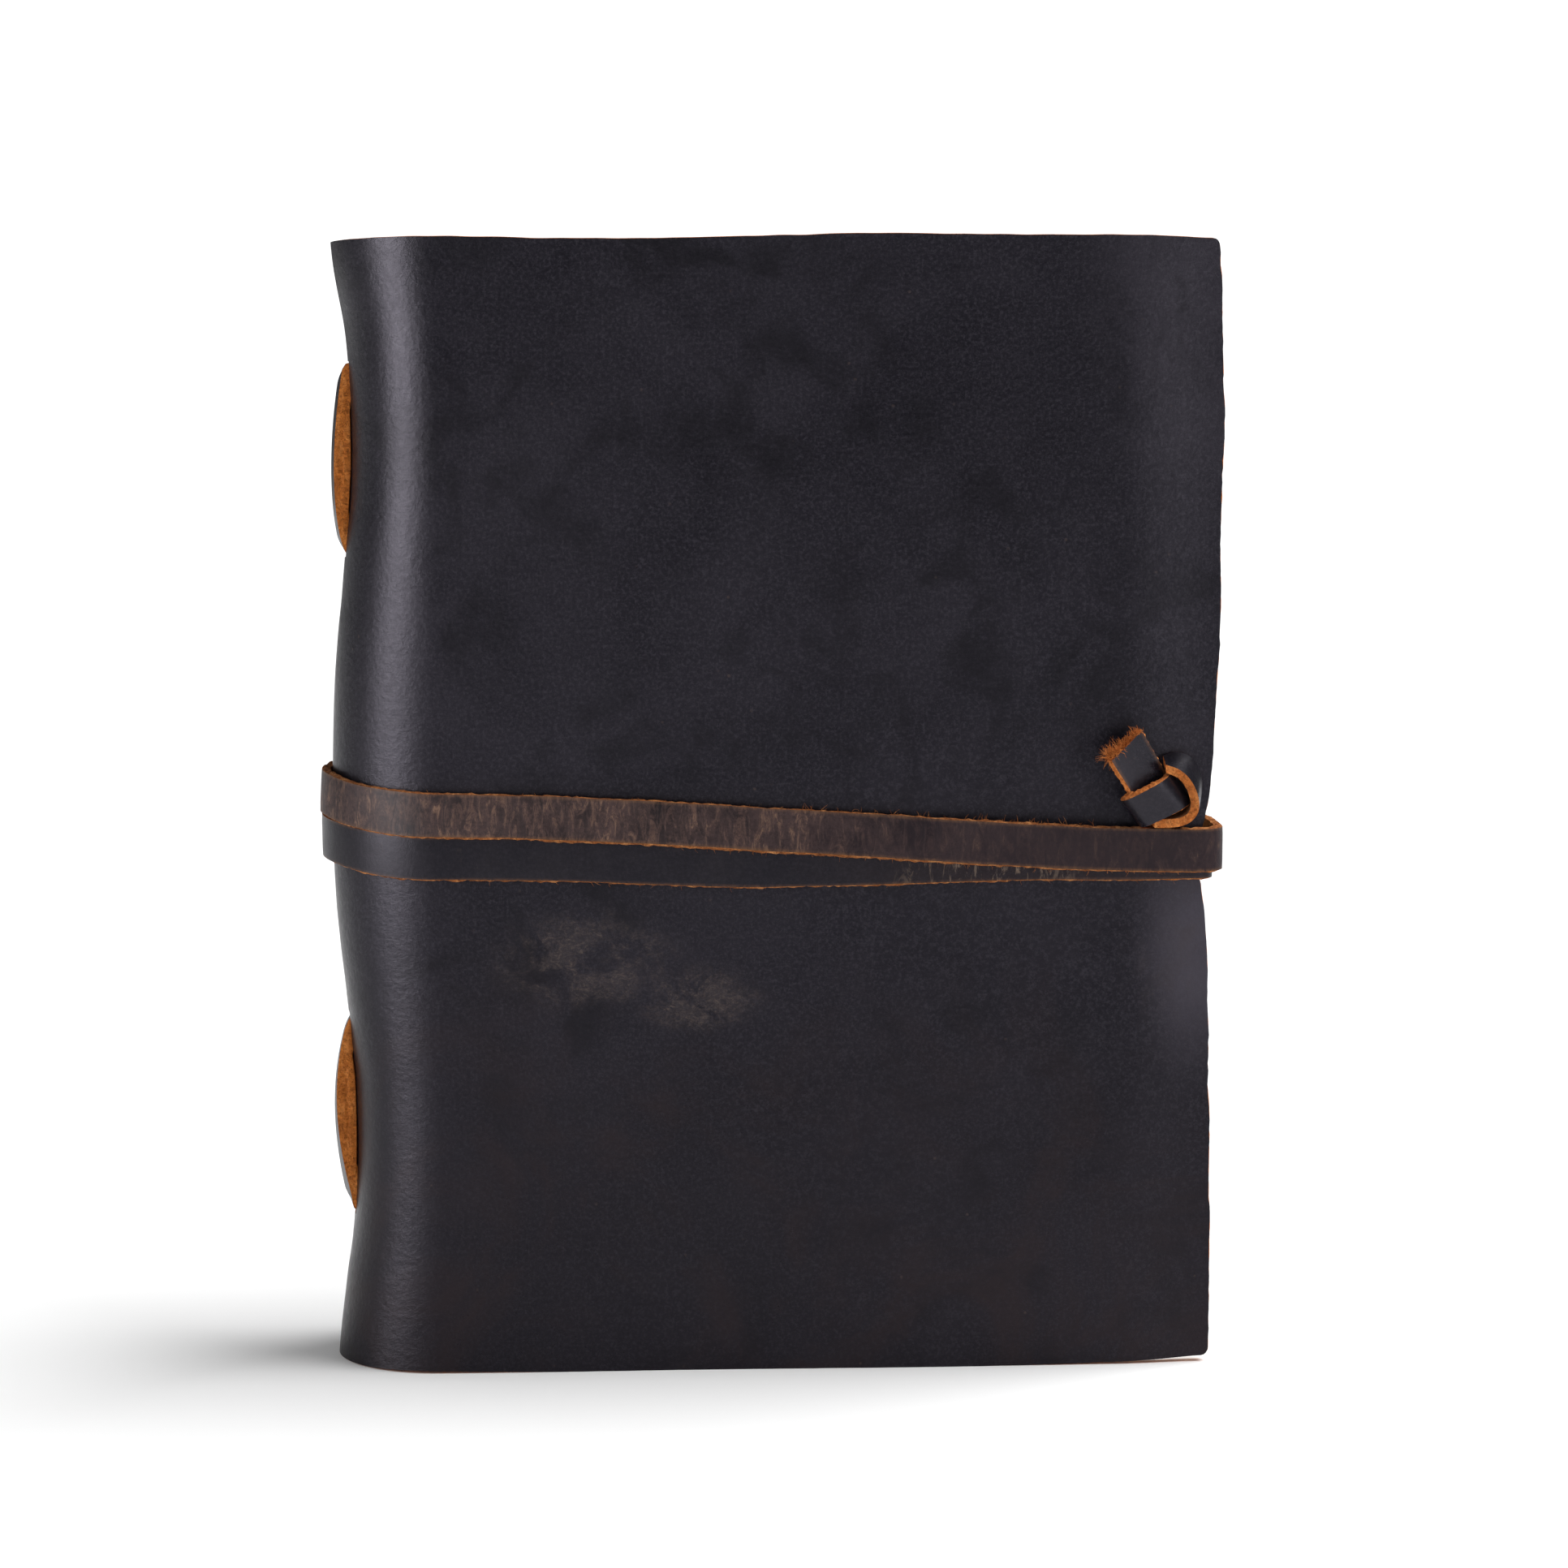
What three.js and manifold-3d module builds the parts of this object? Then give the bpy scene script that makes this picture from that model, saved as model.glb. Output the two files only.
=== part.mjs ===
// Wrap-strap leather journal that stands on its lower edge: a one-piece hide cover with a round soft spine,
// eight sewn paper gatherings, two lace bows in the spine, and a narrow strap wound twice round the book.
// Millimetres. X runs from the spine to the fore-edge, Y from the front cover to the back cover, Z up.
import * as THREE from 'three';
import { mergeVertices } from 'three/addons/utils/BufferGeometryUtils.js';
import Module from 'manifold-3d';

const wasm = await Module();
wasm.setup();
const { Manifold, Mesh } = wasm;

// ---------------------------------------------------------------- driving dimensions
const COVER_H = 203;            // cover height, head to tail
const COVER_X = 157;            // fore-edge of the covers, measured from the outside of the spine
const WAIST = 3.1;              // how far the strap draws the fore-edge in
const WAIST_Z = 92;             // height of that waist
const WAIST_SPREAD = 26;        // how far above and below it the waist fades
const FLARE = 1.2;              // how much further the covers reach at the head than at the tail
const FLARE_Z = [118, 150];     // heights between which they widen
const LEATHER = 2;              // hide thickness
const SPINE_R = 18;             // outer radius of the round spine, half the thickness of the book
const INNER_R = SPINE_R - LEATHER;
const GAP = 0.3;                // clearance between neighbouring pieces
const CORNER_R = 1.5;           // rounded corners of the hide

// The covers and the leaves turn about two upright axes inside the spine's corners, one at the front and
// one at the back. Every piece that turns starts just outside a cylinder about its axis, and what stays ends
// inside it.
const FOLD_X = 3;
const FOLD_Y = 12;
const FOLD_R = 15.3;

const SHEETS_H = 193;           // height of the paper
const SHEETS_Z = 5;             // its lower edge above the floor
const LEAF_W = 138;             // width of a folded sheet
const GATHERINGS = 8;
const GATHERING_T = 3.1;        // thickness of one gathering
const BACK_X = 5.9;             // foremost point of the rounded back of the paper
const BACK_A = 12.5;            // semi-axes of that rounded back
const BACK_B = 14.6;

const STRAP_W = 7.7;            // strap width
const STRAP_T = 1.7;            // strap thickness
const EDGE_X = 154.6;           // fore-edge of the covers under the strap
const EDGE_R = 1;               // bend radius of the strap round the cover's edge
const ON_LEATHER = GAP;         // lift of a turn that lies on the hide
const ON_STRAP = 2 * GAP + STRAP_T;   // lift of a turn that lies on another turn
const FOLD_FLAT = 0.5;          // flat across a corner where the strap folds sharply

// Heights of the middle line of the two turns: on the spine, where they leave it on each cover, and at the
// cover's edge. The lower front pass sags between its ends.
const LOWER = { spine: 96.2, front: 93.4, frontEdge: 92.8, back: 98.7, backEdge: 84.2 };
const UPPER = { spine: 104.2, front: 101.9, frontEdge: 94.2, back: 108.7, backEdge: 92.7 };
const LOWER_SAG = 1.4;
const FRONT_START = FOLD_X + FOLD_R;
// Heights in the middle of the fore-edge: next to the covers, over that turn, and in between the covers.
const EDGE_Z = { under: 92.5, over: 94.8, between: 91.6 };
const DIVE_Z = 84.1;            // where the back turn goes in between the covers
const DIVE_Y = INNER_R - 1.4;
const TAIL_L = 58;              // loose tail, from the last bend
const TAIL_RISE = 1.6;          // its height over the turn below, at its start
const TAIL_DROP = 4.2;          // how far it falls towards its tip

const SLIT_X = 145.8;           // slit in the front cover that the strap starts from
const SLIT_Z = 101.2;
const SLIT_CLEAR = 0.5;         // room round the strap in its slit
const ANCHOR_Z = 99.2;          // height of the strap inside, where it turns to the back
const KNOT_X = 146;
const KNOT_Z = 105.4;
const KNOT_LOOP_R = 6.6;        // outer radius of the knot's loop
const KNOT_WRAP_TILT = 0.55;    // slope of the turn across the knot, in radians
const KNOT_STUB_TILT = -0.95;   // slope of its stub

const LACE_W = 7;               // lace width, across the spine
const LACE_T = 1.9;
const LACE_SPANS = [
  { name: 'spine_lace_upper', low: 147, high: 179 },
  { name: 'spine_lace_lower', low: 27, high: 62 },
];
const LACE_BOW = 2.4;           // how far a lace stands out from the spine at its middle, with its thickness
const LACE_FULLNESS = 0.8;      // 1 for a sine bow, less for a fuller one
const LACE_INNER_X = 2.75;      // outer face of the inner run

const THREAD_R = 0.35;
const THREAD_SAG = 0.25;        // how far a thread stands off the outermost folds
const THREADS = [
  { name: 'sewing_thread_head', z: 190 },
  { name: 'sewing_thread_upper', z: 163 },
  { name: 'sewing_thread_lower', z: 45 },
  { name: 'sewing_thread_tail', z: 14 },
];

// ---------------------------------------------------------------- materials
const material = (color, roughness) => new THREE.MeshStandardMaterial({ color, roughness, metalness: 0 });
const hide = () => material(0x1f2026, 0.55);
const strapLeather = () => material(0x3a2c28, 0.6);
const laceLeather = () => material(0xa85f2c, 0.8);
const paper = () => material(0xe9dfc6, 0.9);
const linen = () => material(0xcdbf9f, 0.85);

const book = new THREE.Group();
book.name = 'leather_notebook_cover';

function add(name, geometry, finish) {
  const mesh = new THREE.Mesh(geometry, finish);
  mesh.name = name;
  book.add(mesh);
}

// ---------------------------------------------------------------- geometry helpers
const { lerp } = THREE.MathUtils;
const smooth = (a, b, x) => THREE.MathUtils.smoothstep(x, a, b);

// Six times the volume inside a closed skin, negative when its faces point inwards.
function signedVolume(points, index) {
  const at = (i) => new THREE.Vector3(...points[index[i]]);
  let sum = 0;
  for (let i = 0; i < index.length; i += 3) {
    sum += at(i).dot(at(i + 1).cross(at(i + 2)));
  }
  return sum;
}

// A closed skin over a row of rings with the same number of points, with its faces turned outwards.
// The row is capped at both ends, or joined to itself when it is a loop.
function loft(rings, loop = false) {
  const n = rings[0].length;
  const index = [];
  const spans = loop ? rings.length : rings.length - 1;
  for (let i = 0; i < spans; i += 1) {
    const a = i * n;
    const b = ((i + 1) % rings.length) * n;
    for (let k = 0; k < n; k += 1) {
      const next = (k + 1) % n;
      index.push(a + k, a + next, b + next, a + k, b + next, b + k);
    }
  }
  if (!loop) {
    const last = (rings.length - 1) * n;
    for (let k = 1; k < n - 1; k += 1) {
      index.push(0, k + 1, k, last, last + k, last + k + 1);
    }
  }
  const points = rings.flat();
  if (signedVolume(points, index) < 0) {
    index.reverse();
  }
  const geometry = new THREE.BufferGeometry();
  geometry.setAttribute('position', new THREE.Float32BufferAttribute(points.flat(), 3));
  geometry.setIndex(index);
  geometry.computeVertexNormals();
  return geometry;
}

// An upright prism over an outline in X and Y.
function prism(outline, low, high) {
  const shape = new THREE.Shape(outline.map(([x, y]) => new THREE.Vector2(x, y)));
  const geometry = new THREE.ExtrudeGeometry(shape, { depth: high - low, bevelEnabled: false });
  return geometry.translate(0, 0, low);
}

function toSolid(geometry) {
  const bare = geometry.clone();
  bare.deleteAttribute('normal');
  bare.deleteAttribute('uv');
  const merged = mergeVertices(bare, 1e-3);
  return new Manifold(new Mesh({
    numProp: 3,
    vertProperties: new Float32Array(merged.getAttribute('position').array),
    triVerts: new Uint32Array(merged.getIndex().array),
  }));
}

function toGeometry(solid) {
  const mesh = solid.getMesh();
  const geometry = new THREE.BufferGeometry();
  geometry.setAttribute('position', new THREE.BufferAttribute(new Float32Array(mesh.vertProperties), 3));
  geometry.setIndex(new THREE.BufferAttribute(new Uint32Array(mesh.triVerts), 1));
  geometry.computeVertexNormals();
  return geometry;
}

const joined = (parts) => toGeometry(parts.map(toSolid).reduce((all, part) => all.add(part)));
const cut = (body, tools) => toGeometry(
  tools.map(toSolid).reduce((all, tool) => all.subtract(tool), toSolid(body)),
);

function block(sizeX, sizeY, sizeZ, x, y, z) {
  return new THREE.BoxGeometry(sizeX, sizeY, sizeZ).translate(x, y, z);
}

// Where a cylinder of radius r about the nearer fold axis crosses the line y = constant.
function foldX(y, r = FOLD_R) {
  return FOLD_X + Math.sqrt(r * r - (Math.abs(y) - FOLD_Y) ** 2);
}

// The angle from the middle of the spine at which an arc of radius rho about the spine's centre meets
// the fold cylinder of the front corner.
function foldAngle(rho) {
  const dx = SPINE_R - FOLD_X;
  const reach = Math.hypot(dx, FOLD_Y);
  const cosine = (reach ** 2 + rho ** 2 - FOLD_R ** 2) / (2 * rho * reach);
  return Math.atan2(FOLD_Y, dx) + Math.acos(cosine);
}

// A point at an angle from the middle of the spine, towards the front cover when the angle is positive.
function onSpine(rho, angle) {
  return [SPINE_R - rho * Math.cos(angle), -rho * Math.sin(angle)];
}

// ---------------------------------------------------------------- cover
function foreEdge(z) {
  const flare = FLARE * smooth(...FLARE_Z, z);
  const waist = (WAIST - FLARE) * Math.exp(-(((z - WAIST_Z) / WAIST_SPREAD) ** 2));
  return COVER_X - FLARE + flare - waist;
}

// A flat cover panel. side is -1 for the front and 1 for the back.
function panel(side) {
  const steps = 26;
  const outline = [[FRONT_START, 0], [foreEdge(0) - CORNER_R, 0]];
  for (let i = 0; i <= steps; i += 1) {
    const z = CORNER_R + ((COVER_H - 2 * CORNER_R) * i) / steps;
    outline.push([foreEdge(z), z]);
  }
  outline.push([foreEdge(COVER_H) - CORNER_R, COVER_H], [FRONT_START, COVER_H]);
  const faces = [SPINE_R, INNER_R].map((y) => outline.map(([x, z], i) => {
    const atFold = i === 0 || i === outline.length - 1;
    return [atFold ? foldX(y, FOLD_R + GAP) : x, side * y, z];
  }));
  return loft(faces);
}

function frontCover() {
  const clearX = STRAP_T + 2 * SLIT_CLEAR;
  const clearZ = STRAP_W + 2 * SLIT_CLEAR;
  const slit = block(clearX, 3 * LEATHER, clearZ, SLIT_X, -SPINE_R + LEATHER / 2, SLIT_Z);
  add('front_cover', cut(panel(-1), [slit]), hide());
}

function backCover() {
  add('back_cover', panel(1), hide());
}

function spine() {
  const steps = 28;
  const arc = (rho) => {
    const end = foldAngle(rho);
    return Array.from({ length: steps + 1 }, (_, i) => onSpine(rho, end - (2 * end * i) / steps));
  };
  const outline = [...arc(SPINE_R), ...arc(INNER_R).reverse()];
  const slots = LACE_SPANS.flatMap(({ low, high }) => [low, high].map((z) => block(
    3 * LEATHER,
    LACE_W + 2 * GAP,
    LACE_T + 2 * GAP,
    LEATHER / 2,
    0,
    z,
  )));
  add('spine', cut(prism(outline.reverse(), 0, COVER_H), slots), hide());
}

// ---------------------------------------------------------------- spine laces
// A closed lace: a bow outside the spine, straight through both slits, and an upright run inside.
function lace({ name, low, high }) {
  const half = LACE_W / 2;
  const bowSteps = 10;
  const path = [];
  for (let i = 0; i <= bowSteps; i += 1) {
    const t = i / bowSteps;
    const lift = (LACE_BOW - LACE_T) * Math.sin(Math.PI * t) ** LACE_FULLNESS;
    const inset = (LACE_T / 2) * Math.cos(Math.PI * t);
    path.push({
      outer: [-GAP - lift - LACE_T, low - LACE_T / 2 + (high - low + LACE_T) * t],
      inner: [-GAP - lift, low + inset + (high - low) * t],
    });
  }
  path.push({
    outer: [LACE_INNER_X + LACE_T, high + LACE_T / 2],
    inner: [LACE_INNER_X, high - LACE_T / 2],
  });
  path.push({
    outer: [LACE_INNER_X + LACE_T, low - LACE_T / 2],
    inner: [LACE_INNER_X, low + LACE_T / 2],
  });
  const rings = path.map(({ outer, inner }) => [
    [outer[0], -half, outer[1]],
    [outer[0], half, outer[1]],
    [inner[0], half, inner[1]],
    [inner[0], -half, inner[1]],
  ]);
  add(name, loft(rings, true), laceLeather());
}

// ---------------------------------------------------------------- paper and thread
const gatheringY = (i) => (i - (GATHERINGS - 1) / 2) * (GATHERING_T + GAP);
const backX = (y) => BACK_X + BACK_A * (1 - Math.sqrt(1 - (y / BACK_B) ** 2));

function gathering(i) {
  const y = gatheringY(i);
  const half = GATHERING_T / 2;
  const left = backX(y);
  const sides = [y - half, y + half];
  const round = [];
  for (let k = 1; k < 6; k += 1) {
    const angle = (Math.PI * k) / 6;
    round.push([left + half - half * Math.sin(angle), y + half * Math.cos(angle)]);
  }
  const foldEnd = sides.map((s) => [foldX(s), s]);
  const leafStart = sides.map((s) => [foldX(s, FOLD_R + GAP), s]);
  const fold = [[left + half, y - half], foldEnd[0], foldEnd[1], [left + half, y + half], ...round];
  const leaves = [leafStart[0], [left + LEAF_W, sides[0]], [left + LEAF_W, sides[1]], leafStart[1]];
  add(`signature_${i + 1}_fold`, prism(fold, SHEETS_Z, SHEETS_Z + SHEETS_H), paper());
  add(`signature_${i + 1}_leaves`, prism(leaves, SHEETS_Z, SHEETS_Z + SHEETS_H), paper());
}

// A thread that runs across the folds of all the gatherings, just behind them.
function thread({ name, z }) {
  const reach = gatheringY(GATHERINGS - 1);
  const steps = 14;
  const rings = [];
  for (let i = 0; i <= steps; i += 1) {
    const y = -reach + (2 * reach * i) / steps;
    const x = backX(y) - THREAD_R - GAP / 2 - THREAD_SAG * (y / reach) ** 2;
    const ring = [];
    for (let k = 0; k < 6; k += 1) {
      const angle = (Math.PI * k) / 3;
      ring.push([x + THREAD_R * Math.cos(angle), y, z - THREAD_R * Math.sin(angle)]);
    }
    rings.push(ring);
  }
  add(name, loft(rings), linen());
}

// ---------------------------------------------------------------- strap
// One cross-section of the strap, from a point on its inner face to the point opposite on its outer face.
function section(inner, outer, z) {
  const half = STRAP_W / 2;
  return [
    [inner[0], inner[1], z - half],
    [outer[0], outer[1], z - half],
    [outer[0], outer[1], z + half],
    [inner[0], inner[1], z + half],
  ];
}

function band(name, sections) {
  add(name, loft(sections), strapLeather());
}

// A turn of strap that lies on a cover panel, from the fold round the fore-edge to its middle.
// side is -1 for the front; height and lift are functions of x; edge is the height in the middle of the
// fore-edge.
function panelTurn(side, height, lift, edge) {
  const near = lift(FRONT_START);
  const pitch = 6;
  const sections = [];
  const startX = (rise) => foldX(SPINE_R + rise, FOLD_R + GAP);
  sections.push(section(
    [startX(near), side * (SPINE_R + near)],
    [startX(near + STRAP_T), side * (SPINE_R + near + STRAP_T)],
    height(FRONT_START),
  ));
  for (let x = FRONT_START + pitch / 2; x < EDGE_X - pitch / 2; x += pitch) {
    const y = SPINE_R + lift(x);
    sections.push(section([x, side * y], [x, side * (y + STRAP_T)], height(x)));
  }
  return [...sections, ...edgeTurn(side, height(EDGE_X), lift(EDGE_X), edge)];
}

// The bend round a cover's edge and the straight part to the middle of the fore-edge.
function edgeTurn(side, z, rise, edge) {
  const sections = [];
  const steps = 5;
  const shareInBend = 0.2;
  const centre = [EDGE_X - EDGE_R, SPINE_R - EDGE_R];
  for (let i = 0; i <= steps; i += 1) {
    const angle = (Math.PI / 2) * (1 - i / steps);
    const at = (r) => [centre[0] + r * Math.cos(angle), side * (centre[1] + r * Math.sin(angle))];
    const height = lerp(z, edge, (shareInBend * i) / steps);
    sections.push(section(at(EDGE_R + rise), at(EDGE_R + rise + STRAP_T), height));
  }
  const inner = EDGE_X + rise;
  sections.push(section([inner, side * GAP / 2], [inner + STRAP_T, side * GAP / 2], edge));
  return sections;
}

function spineTurn(name, height) {
  const steps = 20;
  const inner = SPINE_R + ON_LEATHER;
  const outer = inner + STRAP_T;
  const ends = [foldAngle(inner), foldAngle(outer)];
  const sections = [];
  for (let i = 0; i <= steps; i += 1) {
    const t = -1 + (2 * i) / steps;
    sections.push(section(
      onSpine(inner, ends[0] * t),
      onSpine(outer, ends[1] * t),
      height(t),
    ));
  }
  band(name, sections);
}

const along = (x) => (x - FRONT_START) / (EDGE_X - FRONT_START);
const sag = (x) => Math.sin(Math.PI * smooth(20, 140, x));
const lowerFront = (x) => lerp(LOWER.front, LOWER.frontEdge, smooth(90, 150, x)) - LOWER_SAG * sag(x);
const upperFront = (x) => lerp(UPPER.front, UPPER.frontEdge, smooth(8, 165, x));
const lowerBack = (x) => lerp(LOWER.back, LOWER.backEdge, along(x));
const upperBack = (x) => lerp(UPPER.back, UPPER.backEdge, along(x));
const overLower = (x) => lerp(ON_LEATHER, ON_STRAP, smooth(18, 40, x));
const onHide = () => ON_LEATHER;

function frontTurns() {
  band('strap_front_lower_pass', panelTurn(-1, lowerFront, onHide, EDGE_Z.under));
  band('strap_front_upper_pass', panelTurn(-1, upperFront, overLower, EDGE_Z.over));
}

function spineTurns() {
  const across = ({ spine: middle, front, back }) => (t) => lerp(middle, t > 0 ? front : back, Math.abs(t));
  spineTurn('strap_spine_lower_pass', across(LOWER));
  spineTurn('strap_spine_upper_pass', across(UPPER));
}

// The turn that starts inside the front cover and goes out between the covers at the fore-edge.
function firstTurn() {
  const faceOut = -INNER_R + GAP;
  const faceIn = faceOut + STRAP_T;
  const slitOut = SLIT_X + STRAP_T / 2;
  const slitIn = SLIT_X - STRAP_T / 2;
  const slitMouth = -SPINE_R - GAP / 3;
  const crossIn = LEAF_W + backX(gatheringY(0)) + STRAP_T + 2 * GAP;
  const crossOut = crossIn + STRAP_T;
  band('strap_anchor_run', [
    section([slitIn, slitMouth], [slitOut, slitMouth], SLIT_Z),
    section([slitIn, faceIn - FOLD_FLAT], [slitOut, faceOut], SLIT_Z),
    section([slitIn + FOLD_FLAT, faceIn], [slitOut, faceOut], SLIT_Z),
    section([crossIn - FOLD_FLAT, faceIn], [crossOut - FOLD_FLAT, faceOut], ANCHOR_Z),
    section([crossIn, faceIn + FOLD_FLAT], [crossOut, faceOut + FOLD_FLAT], ANCHOR_Z - FOLD_FLAT),
    section([crossIn, -GAP / 2], [crossOut, -GAP / 2], EDGE_Z.between),
  ]);
  const outer = EDGE_X + ON_LEATHER;
  const betweenY = DIVE_Y - 2 * STRAP_T;
  const back = panelTurn(1, lowerBack, onHide, DIVE_Z).slice(0, -1);
  back.push(
    section([outer, DIVE_Y], [outer + STRAP_T, DIVE_Y], DIVE_Z),
    section([crossIn, betweenY], [crossOut, betweenY], DIVE_Z + FOLD_FLAT),
    section([crossIn, GAP / 2], [crossOut, GAP / 2], EDGE_Z.between),
  );
  band('strap_back_first_run', back);
}

function secondTurn() {
  band('strap_back_second_run', panelTurn(1, upperBack, onHide, EDGE_Z.under));
}

// The last turn crosses the fore-edge over the one below, and its loose tail lies on the back.
function tail() {
  const start = EDGE_X - EDGE_R;
  const height = (x) => upperBack(x) + TAIL_RISE - (TAIL_DROP * (start - x)) / TAIL_L;
  band('strap_tail_bend', edgeTurn(1, height(start), ON_STRAP, EDGE_Z.over));
  const face = SPINE_R + ON_STRAP;
  const sections = [];
  const steps = 8;
  for (let i = 0; i <= steps; i += 1) {
    const x = start - GAP - (TAIL_L * i) / steps;
    sections.push(section([x, face], [x, face + STRAP_T], height(x)));
  }
  band('strap_tail', sections);
}

// ---------------------------------------------------------------- knot
const KNOT_Y = -SPINE_R - ON_LEATHER;

// A short straight piece of the knot, on its face, lift off the hide.
function slab({ length, width, depth, lift, x, z, tilt }) {
  return new THREE.BoxGeometry(length, depth, width)
    .rotateY(tilt)
    .translate(KNOT_X + x, KNOT_Y - lift - depth / 2, KNOT_Z + z);
}

// A bend of strap that stands on its edge.
function knotLoop() {
  const steps = 9;
  const centre = [KNOT_X + 0.4, KNOT_Z - 0.2];
  const turn = { from: -1.35, to: 1.3 };
  const inner = KNOT_LOOP_R - STRAP_T;
  const ring = [[KNOT_LOOP_R, 0], [inner, 0], [inner, STRAP_W], [KNOT_LOOP_R, STRAP_W]];
  const rings = [];
  for (let i = 0; i <= steps; i += 1) {
    const angle = lerp(turn.from, turn.to, i / steps);
    rings.push(ring.map(([r, lift]) => [
      centre[0] + r * Math.cos(angle),
      KNOT_Y - lift,
      centre[1] + r * Math.sin(angle),
    ]));
  }
  return loft(rings);
}

// The stopper knot: the strap comes out of the slit, bends round on its edge, crosses over itself and
// ends in a square stub.
function knot() {
  const parts = [
    knotLoop(),
    slab({ length: 9.5, width: 8, depth: 5.4, lift: 0, x: 0.2, z: -1, tilt: KNOT_WRAP_TILT }),
    slab({ length: 8.4, width: 8, depth: 2.2, lift: 5.2, x: 0.2, z: -1.6, tilt: KNOT_WRAP_TILT }),
    slab({ length: 8, width: STRAP_W, depth: STRAP_T, lift: 3.6, x: -3.4, z: 4, tilt: KNOT_STUB_TILT }),
  ];
  add('strap_knot', joined(parts), strapLeather());
}

frontCover();
spine();
backCover();
LACE_SPANS.forEach(lace);
for (let i = 0; i < GATHERINGS; i += 1) {
  gathering(i);
}
THREADS.forEach(thread);
knot();
firstTurn();
frontTurns();
spineTurns();
secondTurn();
tail();

// The origin is the middle of the object's footprint, on the floor.
const box = new THREE.Box3().setFromObject(book);
book.position.set(-(box.min.x + box.max.x) / 2, -(box.min.y + box.max.y) / 2, -box.min.z);

export default book;
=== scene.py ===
"""The looks of a wrap-strap leather journal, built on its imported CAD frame.

Lengths are written in millimetres in the book's own coordinates: x from the outside of the spine to the
fore-edge, y from the front (negative) to the back, z up from the floor. make() turns them into metres in the
row frame.
"""

import math

import bmesh
import bpy
import numpy as np
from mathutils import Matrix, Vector


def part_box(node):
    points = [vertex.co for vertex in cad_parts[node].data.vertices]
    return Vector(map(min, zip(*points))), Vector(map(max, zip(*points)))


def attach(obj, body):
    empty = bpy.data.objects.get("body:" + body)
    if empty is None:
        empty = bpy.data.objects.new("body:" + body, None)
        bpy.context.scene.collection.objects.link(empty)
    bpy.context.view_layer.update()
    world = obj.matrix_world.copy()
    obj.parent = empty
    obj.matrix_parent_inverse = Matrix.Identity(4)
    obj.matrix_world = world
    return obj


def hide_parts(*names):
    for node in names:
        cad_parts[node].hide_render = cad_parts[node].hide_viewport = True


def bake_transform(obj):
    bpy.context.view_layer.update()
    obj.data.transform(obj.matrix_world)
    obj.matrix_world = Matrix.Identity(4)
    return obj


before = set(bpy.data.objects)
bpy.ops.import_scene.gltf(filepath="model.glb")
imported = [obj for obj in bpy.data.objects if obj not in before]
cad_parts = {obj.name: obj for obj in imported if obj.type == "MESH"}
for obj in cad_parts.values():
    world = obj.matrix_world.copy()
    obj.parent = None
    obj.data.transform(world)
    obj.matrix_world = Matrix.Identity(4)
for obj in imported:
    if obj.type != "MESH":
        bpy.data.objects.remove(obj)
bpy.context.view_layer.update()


# ------------ dimensions, in millimetres
def cad(node):
    """A node's lowest and highest corners, in millimetres in the row frame."""
    low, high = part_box(node)
    return np.array(low) * 1000, np.array(high) * 1000


SPINE_LOW, SPINE_HIGH = cad("spine")
FRONT_LOW, FRONT_HIGH = cad("front_cover")
_, BACK_HIGH = cad("back_cover")
_, STRAP_HIGH = cad("strap_front_lower_pass")

ORIGIN = np.array([SPINE_LOW[0], (FRONT_LOW[1] + BACK_HIGH[1]) / 2, 0.0])
R = (BACK_HIGH[1] - FRONT_LOW[1]) / 2
HEIGHT = SPINE_HIGH[2]
HIDE = FRONT_HIGH[1] - FRONT_LOW[1]
QUARTER = R * math.pi / 2
CORNER_R = 1.4                 # rounded corners of the hide

STRAP_W = 7.7
STRAP_T = 1.7
ON_HIDE = 0.3                  # lift of a turn that lies on the hide
ON_STRAP = ON_HIDE + STRAP_T + 0.1   # lift of a turn that lies on another turn
EDGE_X = STRAP_HIGH[0] - ORIGIN[0] - ON_HIDE - STRAP_T - 0.2   # fore-edge of the covers under the strap
EDGE_R = 1.2                   # bend radius of the strap round it
FLAT_X = 18.3                  # where the flat of the covers begins

# Heights of the strap's middle line: the two turns on the spine, and in the middle of the fore-edge next to
# the covers, over that turn, and in between the covers.
LOWER_Z = 96.2
UPPER_Z = 104.2
UNDER_Z = 92.5
OVER_Z = 94.8
BETWEEN_Z = 91.6
DIVE_Z = 84.1                  # where the back turn goes in between the covers
CROSS_X = 152.4                # middle of the strap where it crosses between the covers
TAIL_L = 57.0                  # loose tail of the strap
TAIL_RISE = 1.6                # its height over the turn below, at its start
TAIL_DROP = 4.2                # how far it falls towards its tip
SLIT_X, SLIT_Z = 145.8, 101.2  # slit in the front cover that the strap starts from

LACE_UPPER = (147.5, 180.0)    # slits of the upper lace, in height
LACE_LOWER = (27.5, 62.5)
LACE_W = 6.6
LACE_T = 2.5

rng = np.random.default_rng(7)


def placed(name, data):
    """A new object in the scene."""
    obj = bpy.data.objects.new(name, data)
    bpy.context.scene.collection.objects.link(obj)
    return obj


def smooth(a, b, x):
    t = np.clip((np.asarray(x, float) - a) / (b - a), 0, 1)
    return t * t * (3 - 2 * t)


def mix(a, b, t):
    return a + (b - a) * t


def unit(v):
    v = np.asarray(v, float)
    return v / np.linalg.norm(v, axis=-1, keepdims=True)


def repeated(direction, count):
    return np.tile(np.asarray(direction, float), (count, 1))


def lengths(path):
    """How far along a path each of its points is."""
    return np.concatenate([[0], np.cumsum(np.linalg.norm(np.diff(path, axis=0), axis=1))])


def tangents(path):
    return unit(np.gradient(path, axis=0))


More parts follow.
